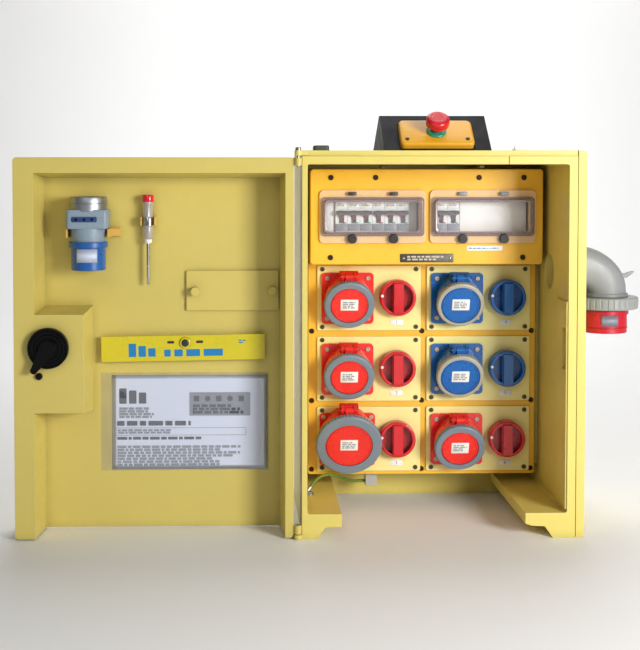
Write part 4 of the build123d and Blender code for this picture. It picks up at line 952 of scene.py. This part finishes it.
HOOK = [(-0.0185, -0.0102), (-0.0112, -0.0097), (-0.0027, -0.0037), (-0.0001, 0.0000), (-0.0048, -0.0010),
        (-0.0112, -0.0037), (-0.0185, -0.0032)]    # from its tip, in the hood's middle plane
hook_z = hood_foot + 0.0562
bm = bmesh.new()
loops(bm, [[(house_hi[0] + x, inlet.y + y, hook_z + z) for x, z in HOOK] for y in (-0.005, 0.005)])
hood.append(finish_mesh("inlet_hook", bm, "inlet_grey", "base"))
for piece in hood:
    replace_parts(piece, "inlet_housing")
turned("shroud_seam", [(0.0333, 0), (0.0342, 0.0004), (0.0342, 0.0020), (0.0333, 0.0024)], 64,
       "red_dark", "base", upright(inlet.x, inlet.y, shroud_foot + 0.0065))
wrapped_label("shroud_label", 0.03362, 22, 0.011, 0.026, 16, "field_blue", "base",
              upright(inlet.x, inlet.y, shroud_foot))
bm = bmesh.new()
for sy in (-1, 1):
    for sz in (-1, 1):
        place = (wall_x + FLANGE_T, inlet.y + sy * SCREW_OUT, FLANGE_MID + sz * SCREW_OUT)
        cross_screw(bm, axes(place, *SIDEWAYS), 0.0038, 0.0020, 0.3)
finish_mesh("inlet_flange_screws", bm, "screw_steel", "base")

# ---------------------------------------------------------------- roof details
CAP_AT, BRACKET_AT = (-0.168, -0.185), (0.1175, -0.185)
NUTS_X, NUTS_Y, NUTS_Z = (-0.074, 0.070), -0.140, 0.521
roof_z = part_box("cabinet")[1][2]
plate("roof_cap", (0.022, 0.030, 0.008, 0.004), "cap_green", "base",
      upright(*CAP_AT, roof_z), 0.002)
bm = bmesh.new()
slab(bm, 0.021, 0.016, 0.0030, 0.002, ease=0.0006)
slab(bm, 0.017, 0.0030, 0.0078, 0.0010, ease=0.0006, centre=(0, 0.004))
finish_mesh("roof_bracket", bm, "white", "base", upright(*BRACKET_AT, roof_z))
# hexagon nuts under the roof
bm = bmesh.new()
nut = [circle(r, NUTS_Z - down, 6) for r, down in
       ((0.0050, 0), (0.0056, 0.0008), (0.0056, 0.0042), (0.0050, 0.0050))]
for x in NUTS_X:
    loops(bm, moved(nut, x, NUTS_Y))
finish_mesh("roof_nuts", bm, "screw_steel", "base")

# ---------------------------------------------------------------- stage and light
SWEEP_X, BACK_Y, BEND_R = 6.0, 1.6, 1.2
profile = [(-6.0, 0.0), (BACK_Y, 0.0)]
profile += [(BACK_Y + BEND_R * sin(radians(a)), BEND_R - BEND_R * cos(radians(a))) for a in range(9, 91, 9)]
profile.append((BACK_Y + BEND_R, 6.0))
bm = bmesh.new()
edges = [[bm.verts.new((x, y, z)) for x in (-SWEEP_X, SWEEP_X)] for y, z in profile]
for low, high in zip(edges, edges[1:]):
    bm.faces.new((low[0], low[1], high[1], high[0]))
sweep_mesh = bpy.data.meshes.new("studio_sweep")
bm.to_mesh(sweep_mesh)
bm.free()
sweep_mesh.shade_smooth()
sweep = bpy.data.objects.new("studio_sweep", sweep_mesh)
sweep_mesh.materials.append(material("sweep", (0.9, 0.9, 0.9, 1), 0.7, vary=0.004, bump=0.0, round_mm=0))
bpy.context.scene.collection.objects.link(sweep)


def area_light(name, place, target, size, power, colour=(1, 1, 1)):
    light = bpy.data.lights.new(name, "AREA")
    light.shape, light.size, light.size_y = "RECTANGLE", size[0], size[1]
    light.energy, light.color = power, colour
    obj = bpy.data.objects.new(name, light)
    obj.location = place
    obj.rotation_mode = "QUATERNION"
    obj.rotation_quaternion = (Vector(place) - Vector(target)).to_track_quat("Z", "Y")
    bpy.context.scene.collection.objects.link(obj)


area_light("key", (1.05, -1.75, 0.66), (0.0, -0.13, 0.34), (0.6, 0.6), 36, (1.0, 0.985, 0.96))
area_light("fill", (-0.9, -2.7, 1.7), (-0.15, -0.15, 0.27), (1.4, 1.0), 8)
area_light("top", (0.0, 0.7, 2.3), (0.0, 0.5, 0.0), (1.6, 1.2), 20)
area_light("back", (0.4, 2.2, 2.2), (0, 2.8, 0.5), (3.0, 1.5), 40)
world = bpy.data.worlds.new("studio")
bpy.context.scene.world = world
world.use_nodes = True
backdrop = world.node_tree.nodes["Background"]
backdrop.inputs["Color"].default_value = (1.0, 1.0, 1.0, 1)
backdrop.inputs["Strength"].default_value = 0.13
bpy.context.scene.view_settings.view_transform = "Standard"
